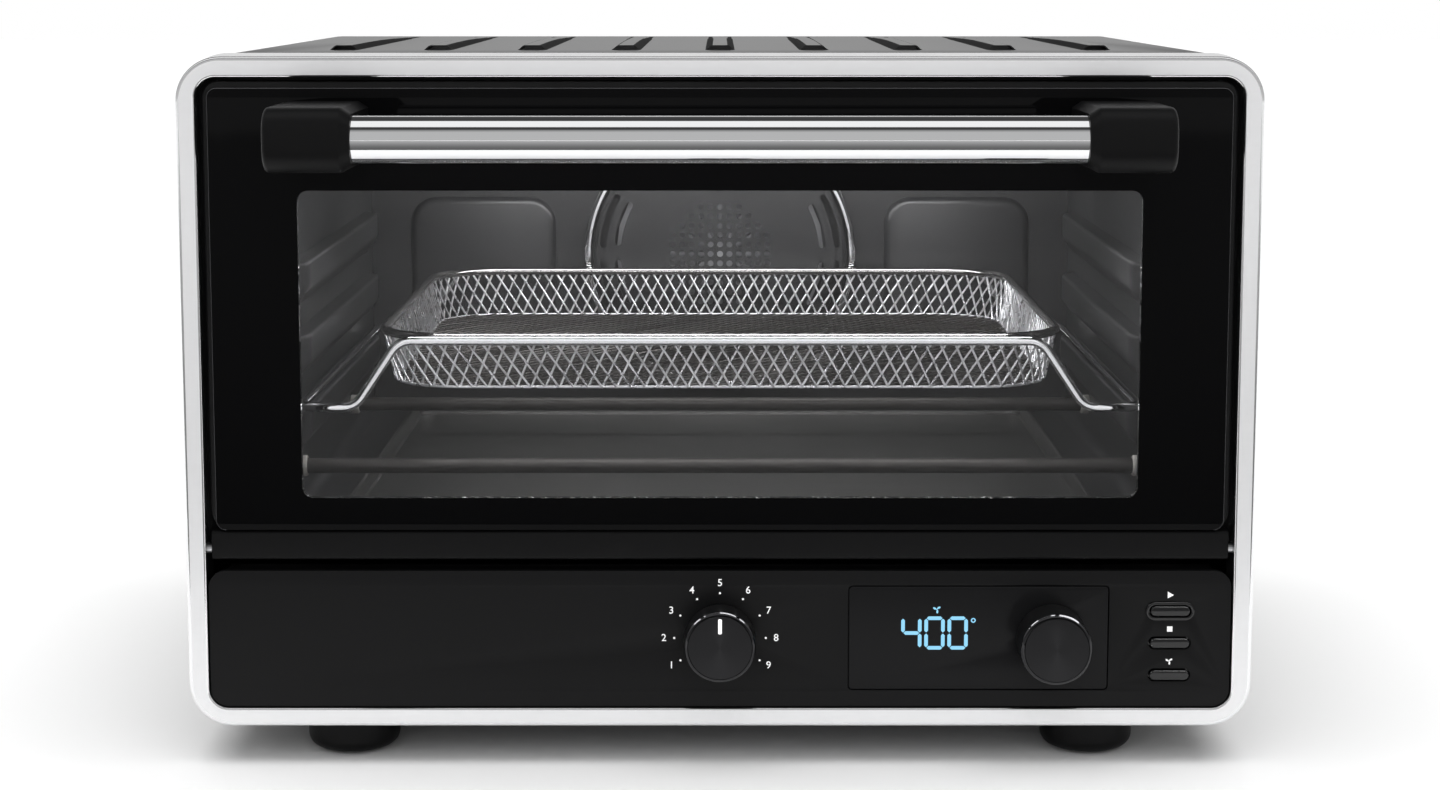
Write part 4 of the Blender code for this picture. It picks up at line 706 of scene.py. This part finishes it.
def back_wall():
    """The cavity's rear wall with two embossed panels."""
    outline = rounded(WALL_LOW.x, WALL_HIGH.x, WALL_LOW.z, WALL_HIGH.z, 0.007, 8)
    front = WALL_HIGH.y - SHEET
    hole = circle(0.0, FAN_Z, 0.006, 24)
    parts = [plate("wall", [outline, hole], front, WALL_HIGH.y, "enamel")]
    low, high = CAVITY_LOW + 0.028, CAVITY_HIGH - 0.057
    outer_x, inner_x = CAVITY_X - 0.020, CAVITY_X - 0.095
    raised = 0.003
    for side in (-1, 1):
        left, right = sorted((side * inner_x, side * outer_x))
        loops = []
        for shrink, lift in ((0.0, -0.0004), (0.0002, 0.0004), (0.0012, 0.0016), (0.0024, 0.0026), (0.0040, raised)):
            points = rounded(left + shrink, right - shrink, low + shrink, high - shrink, 0.014 - shrink, 10)
            loops.append([(x, front - lift, z) for x, z in points])
        parts.append(loft("panel", loops[::-1], "enamel", degrees=50))
    show(merged("rear_wall", parts, 45), "root", "enamel", "cavity_back_wall")


def arc_slot(radius, width, first, last, segments=10):
    """A curved slot with round ends about the fan's axis."""
    first, last = math.radians(first), math.radians(last)
    points = []
    for i in range(segments + 1):
        angle = first + (last - first) * i / segments
        points.append(((radius + width / 2) * math.cos(angle), FAN_Z + (radius + width / 2) * math.sin(angle)))
    for end, start_turn in ((last, last), (first, first + math.pi)):
        centre = (radius * math.cos(end), FAN_Z + radius * math.sin(end))
        if end == first:
            for i in range(segments + 1):
                angle = last + (first - last) * i / segments
                points.append(((radius - width / 2) * math.cos(angle), FAN_Z + (radius - width / 2) * math.sin(angle)))
        for step in range(1, 5):
            turn = start_turn + math.pi * step / 5
            points.append((centre[0] + width / 2 * math.cos(turn), centre[1] + width / 2 * math.sin(turn)))
    return points


def fan_guard():
    """The dished fan cover with its grid of holes, its curved slots and its bright ring."""
    radius = (GUARD_HIGH.x - GUARD_LOW.x) / 2
    front = GUARD_LOW.y
    flat = radius - 0.003
    holes = []
    pitch = 0.00484
    for row in range(-5, 6):
        for column in range(-5, 6):
            if math.hypot(row, column) <= 5.45:
                holes.append(circle(column * pitch, FAN_Z + row * pitch, 0.0016, 12))
    for sector in (0, 180):
        for first, last in ((4.5, 29), (-29, -4.5)):
            holes.append(arc_slot(0.0600, 0.0034, sector + first, sector + last))
            holes.append(arc_slot(0.0525, 0.0034, sector + first + 0.5, sector + last - 2))
    disc = plate("disc", [circle(0.0, FAN_Z, flat, 96)] + holes, front, front + SHEET, "guard")
    profile = [
        (flat, 0.0), (radius - 0.0012, -0.0004), (radius - 0.0003, -0.0013), (radius, -0.0030),
        (radius, -(GUARD_HIGH.y - front)), (radius - SHEET, -(GUARD_HIGH.y - front)), (radius - SHEET, -0.0030),
        (flat, -SHEET),
    ]
    rim = turned("rim", profile, (0.0, front, FAN_Z), "front", "guard", steps=96, closed=True)
    show(merged("fan_guard_plate", [disc, rim], 40), "root", "enamel", "fan_cover")
    inner, outer = radius + 0.0003, (RING_HIGH.x - RING_LOW.x) / 2
    depth = RING_HIGH.y - RING_LOW.y
    profile = [
        (inner, -depth), (inner, -0.0006), (inner + 0.0002, -0.0002), (inner + 0.0005, 0.0), (outer - 0.0007, -0.0001),
        (outer - 0.0003, -0.0003), (outer, -0.0009), (outer, -depth),
    ]
    ring = turned("fan_guard_ring", profile, (0.0, RING_LOW.y, FAN_Z), "front", "chrome", steps=128, closed=True)
    show(ring, "root", "chrome", "fan_cover_ring")


def heaters():
    for level in ("top", "bottom"):
        for row in ("front", "rear"):
            name = f"heater_{level}_{row}"
            low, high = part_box(name)
            y, z = (low.y + high.y) / 2, (low.z + high.z) / 2
            radius = 0.00325
            collar_in, collar_out = CAVITY_X - 0.004, CAVITY_X + SHEET + 0.008
            half = [(0.002, high.x), (0.002, collar_out), (0.0044, collar_out), (0.0045, collar_out - 0.0004),
                    (0.0045, collar_in + 0.0006), (0.0041, collar_in), (radius, collar_in)]
            bands = [2, 1, 1, 1, 1, 1, 0]
            profile = half + [(a, -b) for a, b in reversed(half)]
            bands = bands + bands[:-1][::-1]
            obj = turned(name + "_rod", profile, (0.0, y, z), "right", "sheath_with_painted_shade", "ceramic", "steel", steps=32, bands=bands)
            show(obj, "root", "steel", name)


def tray_loops(low, high, taper, wall, corner, segments=10):
    """Loops of an open tray with a rolled rim, from its underside up and over to its inside floor."""

    def loop(shrink, z):
        points = rounded(low.x + shrink, high.x - shrink, low.y + shrink, high.y - shrink, max(corner - shrink * 0.5, 0.001), segments)
        return [(x, y, z) for x, y in points]

    return [
        loop(taper + 0.0012, low.z),
        loop(taper + 0.0003, low.z + 0.0004),
        loop(taper, low.z + 0.0012),
        loop(0.0012, high.z - 0.0016),
        loop(0.0, high.z - 0.0010),
        loop(0.0, high.z - 0.0002),
        loop(0.0004, high.z),
        loop(0.0014, high.z - 0.0004),
        loop(0.0020, high.z - 0.0014),
        loop(taper + wall, low.z + 0.0016),
        loop(taper + wall + 0.0010, low.z + wall),
    ]


def crumb_tray():
    obj = loft("crumb_pan", tray_loops(TRAY_LOW, TRAY_HIGH, 0.002, 0.0008, 0.008), "tray")
    show(obj, "tray", "aluminium", "crumb_tray")


def basket_path(shrink, z, count):
    """Evenly spaced points round the basket."""
    low, high = BASKET_LOW, BASKET_HIGH
    outline = rounded(low.x + shrink, high.x - shrink, low.y + shrink, high.y - shrink, 0.034 - shrink * 0.5, 24)
    lengths = [0.0]
    for here, after in zip(outline, outline[1:] + outline[:1]):
        lengths.append(lengths[-1] + math.dist(here, after))
    total = lengths[-1]
    points = []
    spot = 0
    for i in range(count):
        goal = total * i / count
        while lengths[spot + 1] < goal:
            spot += 1
        share = (goal - lengths[spot]) / (lengths[spot + 1] - lengths[spot])
        a, b = outline[spot], outline[(spot + 1) % len(outline)]
        points.append(Vector((a[0] + (b[0] - a[0]) * share, a[1] + (b[1] - a[1]) * share, z)))
    return points


def basket():
    """The woven air-fry basket, its rim and base rings, and the bent wire that carries it."""
    low, high = BASKET_LOW, BASKET_HIGH
    gauge = 0.0005
    rim = 0.0019
    count, levels = 164, 8
    fine = count * levels
    rows = []
    top_z, base_z = high.z - rim, low.z + 0.0014
    for level in range(levels + 1):
        t = level / levels
        shrink = rim + (0.0062 - rim) * t
        rows.append(basket_path(shrink, top_z + (base_z - top_z) * t, fine))
    paths, floor_paths = [], []
    run = 2  # pitches that a wire moves along on its way down
    for i in range(count):
        for way in (-1, 1):
            path = [rows[level][(levels * i + way * run * level) % fine] for level in range(levels + 1)]
            outward = gauge * 0.8 * way
            path = [point + Vector((point.x, point.y + 0.0, 0)).normalized() * outward for point in path]
            paths.append(path)
    floor_z = base_z - 0.0002
    outline = [(p.x, p.y) for p in basket_path(0.0066, floor_z, 240)]
    pitch = 0.0064
    slope = 1.29
    for way in (-1, 1):
        span = high.x + (high.y - low.y) / slope
        steps = int(span / pitch) + 1
        for k in range(-steps, steps + 1):
            start_x = k * pitch
            hits = []
            middle_y = (low.y + high.y) / 2
            for (ax, ay), (bx, by) in zip(outline, outline[1:] + outline[:1]):
                fa = way * slope * (ax - start_x) - (ay - middle_y)
                fb = way * slope * (bx - start_x) - (by - middle_y)
                if fa * fb < 0:
                    t = fa / (fa - fb)
                    hits.append(Vector((ax + (bx - ax) * t, ay + (by - ay) * t, floor_z + way * gauge * 0.8)))
            if len(hits) == 2:
                floor_paths.append(hits)
    mesh = wires("mesh", paths, gauge, "wire", sides=1)
    floor = wires("floor_mesh", floor_paths, gauge * 0.8, "floor_wire", sides=1)
    ring = wires("ring", [basket_path(rim, top_z, 200)], rim, "rim_wire", closed=(0,), sides=4)
    foot = wires("foot", [basket_path(0.0062, base_z, 200)], 0.0006, "wire", closed=(0,), sides=2)
    show(merged("fry_basket_mesh", [mesh, floor, ring, foot], 60), "basket", "basket_mesh", "fry_basket")

    radius = 0.002
    front, rear = WIRE_LOW.y + radius, WIRE_HIGH.y - radius
    arm_z, bar_z = WIRE_LOW.z + radius, WIRE_HIGH.z - radius
    bar_x = high.x - 0.012
    half = [(bar_x, bar_z), (bar_x + 0.0185, arm_z), (WIRE_HIGH.x - radius, arm_z)]
    corners = [Vector((x, front, z)) for x, z in half]
    corners += [Vector((x, rear, z)) for x, z in reversed(half)]
    corners += [Vector((-x, rear, z)) for x, z in half]
    corners += [Vector((-x, front, z)) for x, z in reversed(half)]
    obj = wires("basket_carrier", [filleted(corners, 0.0105, 10)], radius, "chrome", closed=(0,), sides=5)
    show(obj, "basket", "chrome", "basket_support")


# ---- Door ----
def door():
    """The gloss-black bordered glass with its clear window, the frame behind it and the bottom rail."""
    outline = rounded(GLASS_LOW.x, GLASS_HIGH.x, GLASS_LOW.z, GLASS_HIGH.z, 0.004, 8)
    window = rounded(-WINDOW_X, WINDOW_X, WINDOW_LOW, WINDOW_HIGH, 0.0045, 10)
    bm = plate_bmesh([outline], GLASS_LOW.y, GLASS_HIGH.y, edge=0.0005, steps=2)
    border = from_bmesh("glass_border", bm, "gloss_black")
    cutter = plate("window_cut", [window], GLASS_LOW.y - 0.001, GLASS_HIGH.y + 0.001, "gloss_black")
    combine(border, cutter, "DIFFERENCE")
    # Painted highlight: the front bevel along the glass's sides and top gets a lighter grey; the bottom bevel stays
    # black.
    border.data.materials.append(MATERIALS["glass_edge_highlight"])
    for face in border.data.polygons:
        outside = abs(face.center.x) > GLASS_HIGH.x - 0.0052 or face.center.z > GLASS_HIGH.z - 0.0052
        if outside and -0.95 < face.normal.y < -0.2:
            face.material_index = len(border.data.materials) - 1
    show(border, "door", "gloss_black", "door_glass")
    gap = 0.00002
    pane = rounded(-WINDOW_X + gap, WINDOW_X - gap, WINDOW_LOW + gap, WINDOW_HIGH - gap, 0.0045, 10)
    obj = plate("window_pane", [pane], GLASS_LOW.y, GLASS_LOW.y + 0.0030, "window_glass")
    show(obj, "door", "glass", "door_glass")

    outline = rounded(DOOR_LOW.x, DOOR_HIGH.x, DOOR_LOW.z, DOOR_HIGH.z, 0.0066, 10)
    spare = 0.002
    window = rounded(-WINDOW_X - spare, WINDOW_X + spare, WINDOW_LOW - spare, WINDOW_HIGH + spare, 0.0065, 10)
    obj = plate("door_panel", [outline, window], DOOR_LOW.y, DOOR_HIGH.y, "inner_paint_and_recess_shade", edge=0.0007)
    show(obj, "door", "black_paint", "door_frame")

    low, high = RAIL_LOW, RAIL_HIGH
    outline = rounded(low.y, high.y, low.z, high.z, 0.0016, 6)
    obj = plate("lower_rail", [outline], low.x, high.x, "textured_black", axis="X", edge=0.0006)
    show(obj, "door", "black_plastic", "door_rail")


def handle():
    """The polished bar between two textured end posts."""
    reach = BAR_HIGH.x
    radius = BAR_RADIUS
    profile = [(radius - 0.0012, reach), (radius, reach), (radius, -reach), (radius - 0.0012, -reach)]
    obj = turned("handle_tube", profile, (0.0, BAR_Y, BAR_Z), "right", "chrome", steps=128, closed=True)
    show(obj, "door", "chrome", "handle_bar")
    for side, word in ((-1, "left"), (1, "right")):
        low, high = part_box("handle_end_" + word)
        outer = max(abs(low.x), abs(high.x))
        inner = min(abs(low.x), abs(high.x))
        half, front, rear = (high.z - low.z) / 2, low.y, high.y

        def section(shrink, nose_shrink):
            nose = 0.0090 - nose_shrink * 0.5
            top = half - shrink
            face = front + nose_shrink + nose
            points = [(rear, -top), (rear, top)]
            points += corner_arc(face, top - nose, nose, math.pi / 2, 10)
            points += corner_arc(face, -top + nose, nose, math.pi, 10)
            return [(y, BAR_Z + z) for y, z in points]

        stations = [(inner, 0.0026, 0.0026), (inner + 0.0036, 0.0002, 0.0002), (inner + 0.0042, 0.0, 0.0)]
        stations += [(outer - 0.0022, 0.0, 0.0)]
        for step in range(1, 6):
            turn = math.pi / 2 * step / 5
            inset = 0.0022 * (1 - math.cos(turn))
            stations.append((outer - 0.0022 + 0.0022 * math.sin(turn), inset, inset))
        loops = [[(side * x, y, z) for y, z in section(a, b)] for x, a, b in stations]
        obj = loft("handle_post_" + word, loops, "textured_black", degrees=40)
        show(obj, "door", "black_plastic", "handle_end_" + word)


# ---- Controls ----
def button_places():
    return {name: sum(c.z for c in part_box(name)) / 2 for name in ("start_button", "cancel_button", "convection_button")}


def fascia():
    """The panel below the door, with the display's recess and the buttons' wells."""
    low, high = FASCIA_LOW, FASCIA_HIGH
    x = BUTTON_X
    outline = rounded(low.x, high.x, low.z, high.z, 0.007, 12)
    gap = 0.0004
    holes = [rounded(SCREEN_LOW.x - gap, SCREEN_HIGH.x + gap, SCREEN_LOW.z - gap, SCREEN_HIGH.z + gap, 0.0019, 6)]
    holes += [stadium(x, z, 0.0172, 0.0052) for z in button_places().values()]
    holes.append(circle(0.0, KNOB_Z, 0.004, 32))
    sheet = plate("sheet", [outline] + holes, at(0.001), at(0.004), "fascia_black", edge=0.00025, steps=2)
    shelf = rounded(at(0.003), at(0.0157), high.z - 0.0018, high.z - 0.0003, 0.0004, 3)
    ledge = plate("ledge", [shelf], low.x + 0.007, high.x - 0.007, "fascia_black", axis="X")
    floor_holes = [circle(DIAL_X, KNOB_Z, 0.0045, 32)]
    grown = 0.003
    floor_plate = rounded(SCREEN_LOW.x - grown, SCREEN_HIGH.x + grown, SCREEN_LOW.z - grown, SCREEN_HIGH.z + grown, 0.002, 4)
    backing = plate("backing", [floor_plate] + floor_holes, at(0.0032), at(0.0039), "fascia_black")
    show(merged("control_panel", [sheet, ledge, backing]), "root", "black_plastic", "control_fascia")

    outline = rounded(SCREEN_LOW.x, SCREEN_HIGH.x, SCREEN_LOW.z, SCREEN_HIGH.z, 0.0015, 6)
    hole = circle(DIAL_X, KNOB_Z, 0.004, 32)
    obj = plate("display_face", [outline, hole], SCREEN_LOW.y, SCREEN_HIGH.y, "screen_black", edge=0.00025)
    show(obj, "root", "gloss_black", "display_window")


def segments_of(digit):
    """Which of a seven-segment digit's bars are lit: top, two above, middle, two below, bottom."""
    return {"4": "bcfg", "0": "abcdef"}[digit]


def readout():
    """The lit temperature, its degree ring and the small fan symbol."""
    y = SCREEN_LOW.y - 0.00004
    back_y = SCREEN_LOW.y + 0.0001
    height, width, stroke, gap = 0.0123, 0.0068, 0.0015, 0.0002
    base = KNOB_Z - 0.0041
    bm = bmesh.new()

    def bar(ax, az, bx, bz):
        """One bar between two points, with pointed ends."""
        a, b = Vector((ax, az)), Vector((bx, bz))
        along = (b - a).normalized()
        across = Vector((-along.y, along.x)) * stroke / 2
        a, b = a + along * gap, b - along * gap
        points = [a, a + along * stroke / 2 + across, b - along * stroke / 2 + across, b,
                  b - along * stroke / 2 - across, a + along * stroke / 2 - across]
        skin(bm, [[(p.x, depth, p.y) for p in points] for depth in (y, back_y)])

    for number, digit in enumerate("400"):
        left = 0.0743 + number * 0.0094
        right, top, middle = left + width, base + height, base + height / 2
        bars = {
            "a": (left, top, right, top), "b": (right, middle, right, top), "c": (right, base, right, middle),
            "d": (left, base, right, base), "e": (left, base, left, middle), "f": (left, middle, left, top),
            "g": (left, middle, right, middle),
        }
        for name in segments_of(digit):
            bar(*bars[name])
    outer, inner = 0.0010, 0.0005
    ring = [(outer, 0.0), (outer, -0.0001), (inner, -0.0001), (inner, 0.0)]
    lathe(bm, ring, (0.1028, y, KNOB_Z + 0.0073), "front", 24, closed=True)
    fan_symbol(bm, 0.0880, KNOB_Z + 0.0119, 0.0018, y, back_y)
    show(from_bmesh("display_readout", bm, "lit"), "root", "gloss_black")


def fan_symbol(bm, x, z, radius, y, back_y):
    """A three-bladed fan."""
    for blade in range(3):
        turn = blade * 2 * math.pi / 3 + 0.5
        points = []
        for step in range(12):
            t = step / 12 * 2 * math.pi
            a, b = radius * 0.55 + radius * 0.42 * math.cos(t), radius * 0.24 * math.sin(t) + radius * 0.1
            points.append((x + a * math.cos(turn) - b * math.sin(turn), z + a * math.sin(turn) + b * math.cos(turn)))
        skin(bm, [[(px, depth, pz) for px, pz in points] for depth in (y, back_y)])
    lathe(bm, [(radius * 0.16, 0.0), (radius * 0.16, y - back_y)], (x, y, z), "front", 16)


def markings():
    """The dots and numbers round the function dial and the symbols over the buttons."""
    y, back_y = at(0.001) - 0.00004, at(0.001) + 0.0001
    bm = bmesh.new()
    numbers = []
    for place in range(9):
        angle = math.radians(-120 + place * 30)
        x, z = 0.0186 * math.sin(angle), KNOB_Z + 0.0186 * math.cos(angle)
        lathe(bm, [(0.00045, 0.0), (0.00045, y - back_y)], (x, y, z), "front", 16)
        numbers.append((str(place + 1), 0.0228 * math.sin(angle), KNOB_Z + 0.0228 * math.cos(angle)))
    places = button_places()
    z = places["start_button"] + 0.0066
    skin(bm, [[(BUTTON_X - 0.0011, depth, z - 0.0014), (BUTTON_X + 0.0014, depth, z), (BUTTON_X - 0.0011, depth, z + 0.0014)]
              for depth in (y, back_y)])
    z = places["cancel_button"] + 0.0058
    skin(bm, [[(BUTTON_X + a * 0.0011, depth, z + b * 0.0011) for a, b in ((-1, -1), (1, -1), (1, 1), (-1, 1))]
              for depth in (y, back_y)])
    fan_symbol(bm, BUTTON_X, places["convection_button"] + 0.0058, 0.0016, y, back_y)
    # The dots, symbols and numbers are white print with a painted glow.
    parts = [from_bmesh("dots", bm, "print_white_painted_glow")]
    for text, x, z in numbers:
        curve = bpy.data.curves.new("number", "FONT")
        curve.body = text
        curve.size = 0.0042
        curve.align_x = "CENTER"
        curve.align_y = "CENTER"
        curve.extrude = 0.00007
        curve.offset = 0.00003
        curve.resolution_u = 4
        letter = curve_mesh(curve, "number")
        letter.transform(Matrix.Translation((x, at(0.001) + 0.00003, z)) @ AIM["front"])
        parts.append(from_bmesh("number", letter, "print_white_painted_glow"))
    show(merged("dial_markings", parts), "root", "black_plastic")


def knob(name, x, body):
    """A knurled knob with a polished chamfer and a spun metal face."""
    low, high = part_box(name)
    rear, height = high.y, high.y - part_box(name + "_cap")[0].y
    radius = (high.x - low.x) / 2
    place = (x, rear, KNOB_Z)
    profile = [
        (0.0130, height - 0.0010), (0.01305, height - 0.0003), (0.01310, height - 0.0002), (0.01315, height - 0.00022),
        (radius - 0.00040, height - 0.00125), (radius - 0.00015, height - 0.0016), (radius - 0.00015, height - 0.0022),
        (radius, height - 0.0026), (radius, 0.0016), (radius - 0.0002, 0.0010), (radius - 0.0006, 0.0004),
        (0.0120, 0.0), (0.0034, 0.0),
    ]
    bands = [1, 1, 1, 1, 1, 0, 0, 0, 0, 0, 0, 0]
    ridges = {7: 0.00022, 8: 0.00022}
    obj = turned(name + "_body", profile, place, "front", "knob_black", "dark_chrome", steps=192, bands=bands,
                 ridges=ridges, degrees=30)
    show(obj, body, "knob_plastic", name)
    profile = [(0.0033, height - 0.0006), (0.0129, height - 0.0006), (0.0130, height - 0.0003), (0.0128, height),
               (0.0080, height), (0.0040, height), (0.00002, height)]
    obj = turned(name + "_face", profile, place, "front", "spun", steps=96)
    show(obj, body, "spun_metal", name + "_cap")
    return rear - height


def knobs():
    face = knob("function_knob", 0.0, "function_dial")
    z = KNOB_Z + 0.0088
    outline = rounded(-0.00075, 0.00075, z - 0.0031, z + 0.0031, 0.0005, 4)
    # The pointer is a white line with a painted glow.
    obj = plate("function_pointer", [outline], face - 0.00004, face + 0.0002, "pointer_painted_glow")
    show(obj, "function_dial", "spun_metal")
    knob("temperature_knob", DIAL_X, "temperature_dial")


def buttons():
    keys = {"start_button": "start_key", "cancel_button": "cancel_key", "convection_button": "convection_key"}
    for name, z in button_places().items():
        low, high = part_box(name)
        front = low.y
        outline = stadium(BUTTON_X, z, 0.0160, 0.0040)
        cap = plate("cap", [outline], front, at(0.0046), "pill_black", edge=0.0006, steps=4)
        rim = plate("rim", [stadium(BUTTON_X, z, 0.0192, 0.0072)], at(0.0043), at(0.0053), "pill_black")
        stem = turned("stem", [(0.0015, high.y - at(0.0048)), (0.0015, 0.0)], (BUTTON_X, at(0.0048), z), "back", "pill_black",
                      steps=24)
        show(merged(name + "_key", [cap, rim, stem]), keys[name], "gloss_black", name)
    z = button_places()["start_button"]
    low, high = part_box("start_button_ring")
    inner = stadium(BUTTON_X, z, 0.0172, 0.0052)
    outer = stadium(BUTTON_X, z, high.x - low.x, high.z - low.z)
    obj = plate("start_ring", [outer, inner], low.y, high.y, "pill_black", edge=0.0002, steps=2)
    show(obj, "root", "gloss_black", "start_button_ring")


def carried_over():
    keep("powder", "black_paint", "base_pan")
    keep("textured_black", "black_plastic", "cord_gland", "function_switch")
    keep("blade", "aluminium", "convection_fan")
    keep("aluminium", "aluminium", "cooling_fan", "temperature_encoder")
    keep("steel", "steel", "fan_shaft", "fan_motor", "hinge_pin_left", "hinge_pin_right", "handle_screw_left")
    keep("steel", "steel", "handle_screw_right", "function_shaft", "temperature_shaft")
    keep("screen_black", "gloss_black", "display_module")
    keep("board", "board", "control_board", "power_board")


# ---- Set, lights and camera ----
CARD_START = -0.43  # nearer the oven than this, reflections see the pale floor


def card_material():
    """A glow that grows with the distance in front of the handle, from dark grey to mid grey."""
    made = bpy.data.materials.new("card")
    made.use_nodes = True
    tree = made.node_tree
    link = tree.links.new
    shader = tree.nodes["Principled BSDF"]
    shader.inputs["Base Color"].default_value = (0, 0, 0, 1)
    shader.inputs["Specular IOR Level"].default_value = 0.0
    shader.inputs["Emission Strength"].default_value = 1.0
    coords = node(tree, "TexCoord")
    split = node(tree, "SeparateXYZ")
    link(coords.outputs["Object"], split.inputs["Vector"])
    ahead = node(tree, "Math", operation="SUBTRACT")
    ahead.inputs[0].default_value = BAR_Y
    link(split.outputs["Y"], ahead.inputs[1])
    slope = node(tree, "Math", operation="ARCTAN2")
    slope.inputs[0].default_value = BAR_Z
    link(ahead.outputs[0], slope.inputs[1])
    ramp = node(tree, "ValToRGB")
    link(slope.outputs[0], ramp.inputs["Fac"])
    fade(ramp.color_ramp, CARD_STOPS)
    link(ramp.outputs["Color"], shader.inputs["Emission Color"])
    return made


CARD_STOPS = [(0.0, 0.50), (0.14, 0.42), (0.34, 0.28), (0.54, 0.18), (0.80, 0.11)]  # by the angle below the horizon


def fade(ramp, stops):
    """Sets a colour ramp's greys."""
    ramp.elements[0].position = stops[0][0]
    ramp.elements[1].position = stops[-1][0]
    for place, _ in stops[1:-1]:
        ramp.elements.new(place)
    for element, (_, value) in zip(ramp.elements, stops):
        element.color = (value, value, value, 1.0)


def sheet_of(name, corners, look):
    bm = bmesh.new()
    bm.faces.new([bm.verts.new(corner) for corner in corners])
    mesh = bpy.data.meshes.new(name)
    bm.to_mesh(mesh)
    bm.free()
    mesh.materials.append(look)
    obj = bpy.data.objects.new(name, mesh)
    bpy.context.scene.collection.objects.link(obj)
    return obj


def stage():
    """A pale floor, and a dark card in front that only reflections see."""
    reach = 12.0
    corners = [(-reach, -reach, 0), (reach, -reach, 0), (reach, reach, 0), (-reach, reach, 0)]
    floor = sheet_of("floor", corners, MATERIALS["floor"])
    corners = [(-3.0, -5.0, 0.001), (3.0, -5.0, 0.001), (3.0, CARD_START, 0.001), (-3.0, CARD_START, 0.001)]
    card = sheet_of("dark_card", corners, card_material())
    card.visible_camera = False
    card.visible_diffuse = False
    card.visible_shadow = False
    card.visible_transmission = False


def world():
    """A studio by direction: a bright bank overhead, grey in front and white behind."""
    made = bpy.data.worlds.new("studio")
    bpy.context.scene.world = made
    made.use_nodes = True
    tree = made.node_tree
    link = tree.links.new
    background = tree.nodes["Background"]
    coords = node(tree, "TexCoord")
    split = node(tree, "SeparateXYZ")
    link(coords.outputs["Generated"], split.inputs["Vector"])
    ahead = node(tree, "Math", operation="MULTIPLY")
    ahead.inputs[1].default_value = -1.0
    link(split.outputs["Y"], ahead.inputs[0])
    height = node(tree, "Math", operation="ABSOLUTE")
    link(split.outputs["Z"], height.inputs[0])
    angle = node(tree, "Math", operation="ARCTAN2")
    link(height.outputs[0], angle.inputs[0])
    link(ahead.outputs[0], angle.inputs[1])
    share = node(tree, "Math", operation="DIVIDE")
    share.inputs[1].default_value = math.pi
    link(angle.outputs[0], share.inputs[0])
    ramp = node(tree, "ValToRGB")
    link(share.outputs[0], ramp.inputs["Fac"])
    fade(ramp.color_ramp, WORLD_STOPS)
    link(ramp.outputs["Color"], background.inputs["Color"])
    background.inputs["Strength"].default_value = 1.0


WORLD_STOPS = [  # by the angle up from the front horizon, over the top and down to the back one
    (0.0, 0.52),
    (0.21, 0.52),
    (0.265, 0.28),
    (0.295, 0.05),
    (0.355, 0.05),
    (0.372, 1.0),
    (0.565, 1.0),
    (0.582, 0.05),
    (0.78, 0.06),
    (0.88, 1.0),
    (1.0, 1.0),
]


def area_light(name, place, target, size, power, shape="RECTANGLE", size_y=None, colour=(1, 1, 1), glossy=True):
    data = bpy.data.lights.new(name, "AREA")
    data.shape = shape
    data.size = size
    data.size_y = size_y or size
    data.energy = power
    data.color = colour
    obj = bpy.data.objects.new(name, data)
    obj.location = place
    obj.rotation_euler = (Vector(target) - Vector(place)).to_track_quat("-Z", "Y").to_euler()
    obj.visible_camera = False
    obj.visible_glossy = glossy
    bpy.context.scene.collection.objects.link(obj)
    return obj


STRIP_GLOW = 20.0  # of the two overhead strips that only the knobs and keys reflect


def lights():
    data = bpy.data.lights.new("overhead", "SUN")
    data.energy = 2.6
    data.angle = math.radians(70)
    sun = bpy.data.objects.new("overhead", data)
    sun.rotation_euler = (math.radians(6), 0, 0)
    sun.visible_glossy = False
    bpy.context.scene.collection.objects.link(sun)
    area_light("front_fill", (0.0, -1.9, 0.9), (0, 0, 0.15), 1.6, 8, glossy=False)
    shiny = bpy.data.collections.new("shiny_controls")
    for obj in bpy.context.scene.objects:
        if obj.name.endswith(("knob_body", "_key", "start_ring")):
            shiny.objects.link(obj)
    for name, left, right in (("strip_left", -2.3, -0.85), ("strip_right", 0.0, 2.0)):
        middle = (left + right) / 2
        width, depth = right - left, 0.55
        power = STRIP_GLOW * math.pi * width * depth
        strip = area_light(name, (middle, at(0.0), 1.5), (middle, at(0.0), 0.0), width, power, size_y=depth)
        strip.visible_diffuse = False
        strip.visible_transmission = False
        strip.light_linking.receiver_collection = shiny
    area_light("cavity_front", (0.0, at(0.05), 0.262), (0.0, at(0.17), 0.10), 0.30, 0.8, size_y=0.03)
    area_light("cavity_rear", (0.0, at(0.24), 0.262), (0.0, at(0.27), 0.10), 0.26, 0.4, size_y=0.03)


def camera():
    data = bpy.data.cameras.new("camera")
    data.lens = 65.77
    data.sensor_width = 36.0
    data.shift_y = -0.065
    data.clip_start = 0.05
    data.clip_end = 60.0
    obj = bpy.data.objects.new("camera", data)
    obj.location = (0.0, FRONT - 1.0427, 0.320)
    obj.rotation_euler = (math.radians(90 - 7.06), 0, 0)
    bpy.context.scene.collection.objects.link(obj)
    bpy.context.scene.camera = obj


def main():
    trim()
    cover()
    back()
    housing()
    feet()
    liner()
    back_wall()
    fan_guard()
    heaters()
    crumb_tray()
    basket()
    door()
    handle()
    fascia()
    readout()
    markings()
    knobs()
    buttons()
    carried_over()
    stage()
    world()
    lights()
    camera()
    scene = bpy.context.scene
    scene.view_settings.view_transform = "Standard"
    scene.view_settings.look = "None"


main()
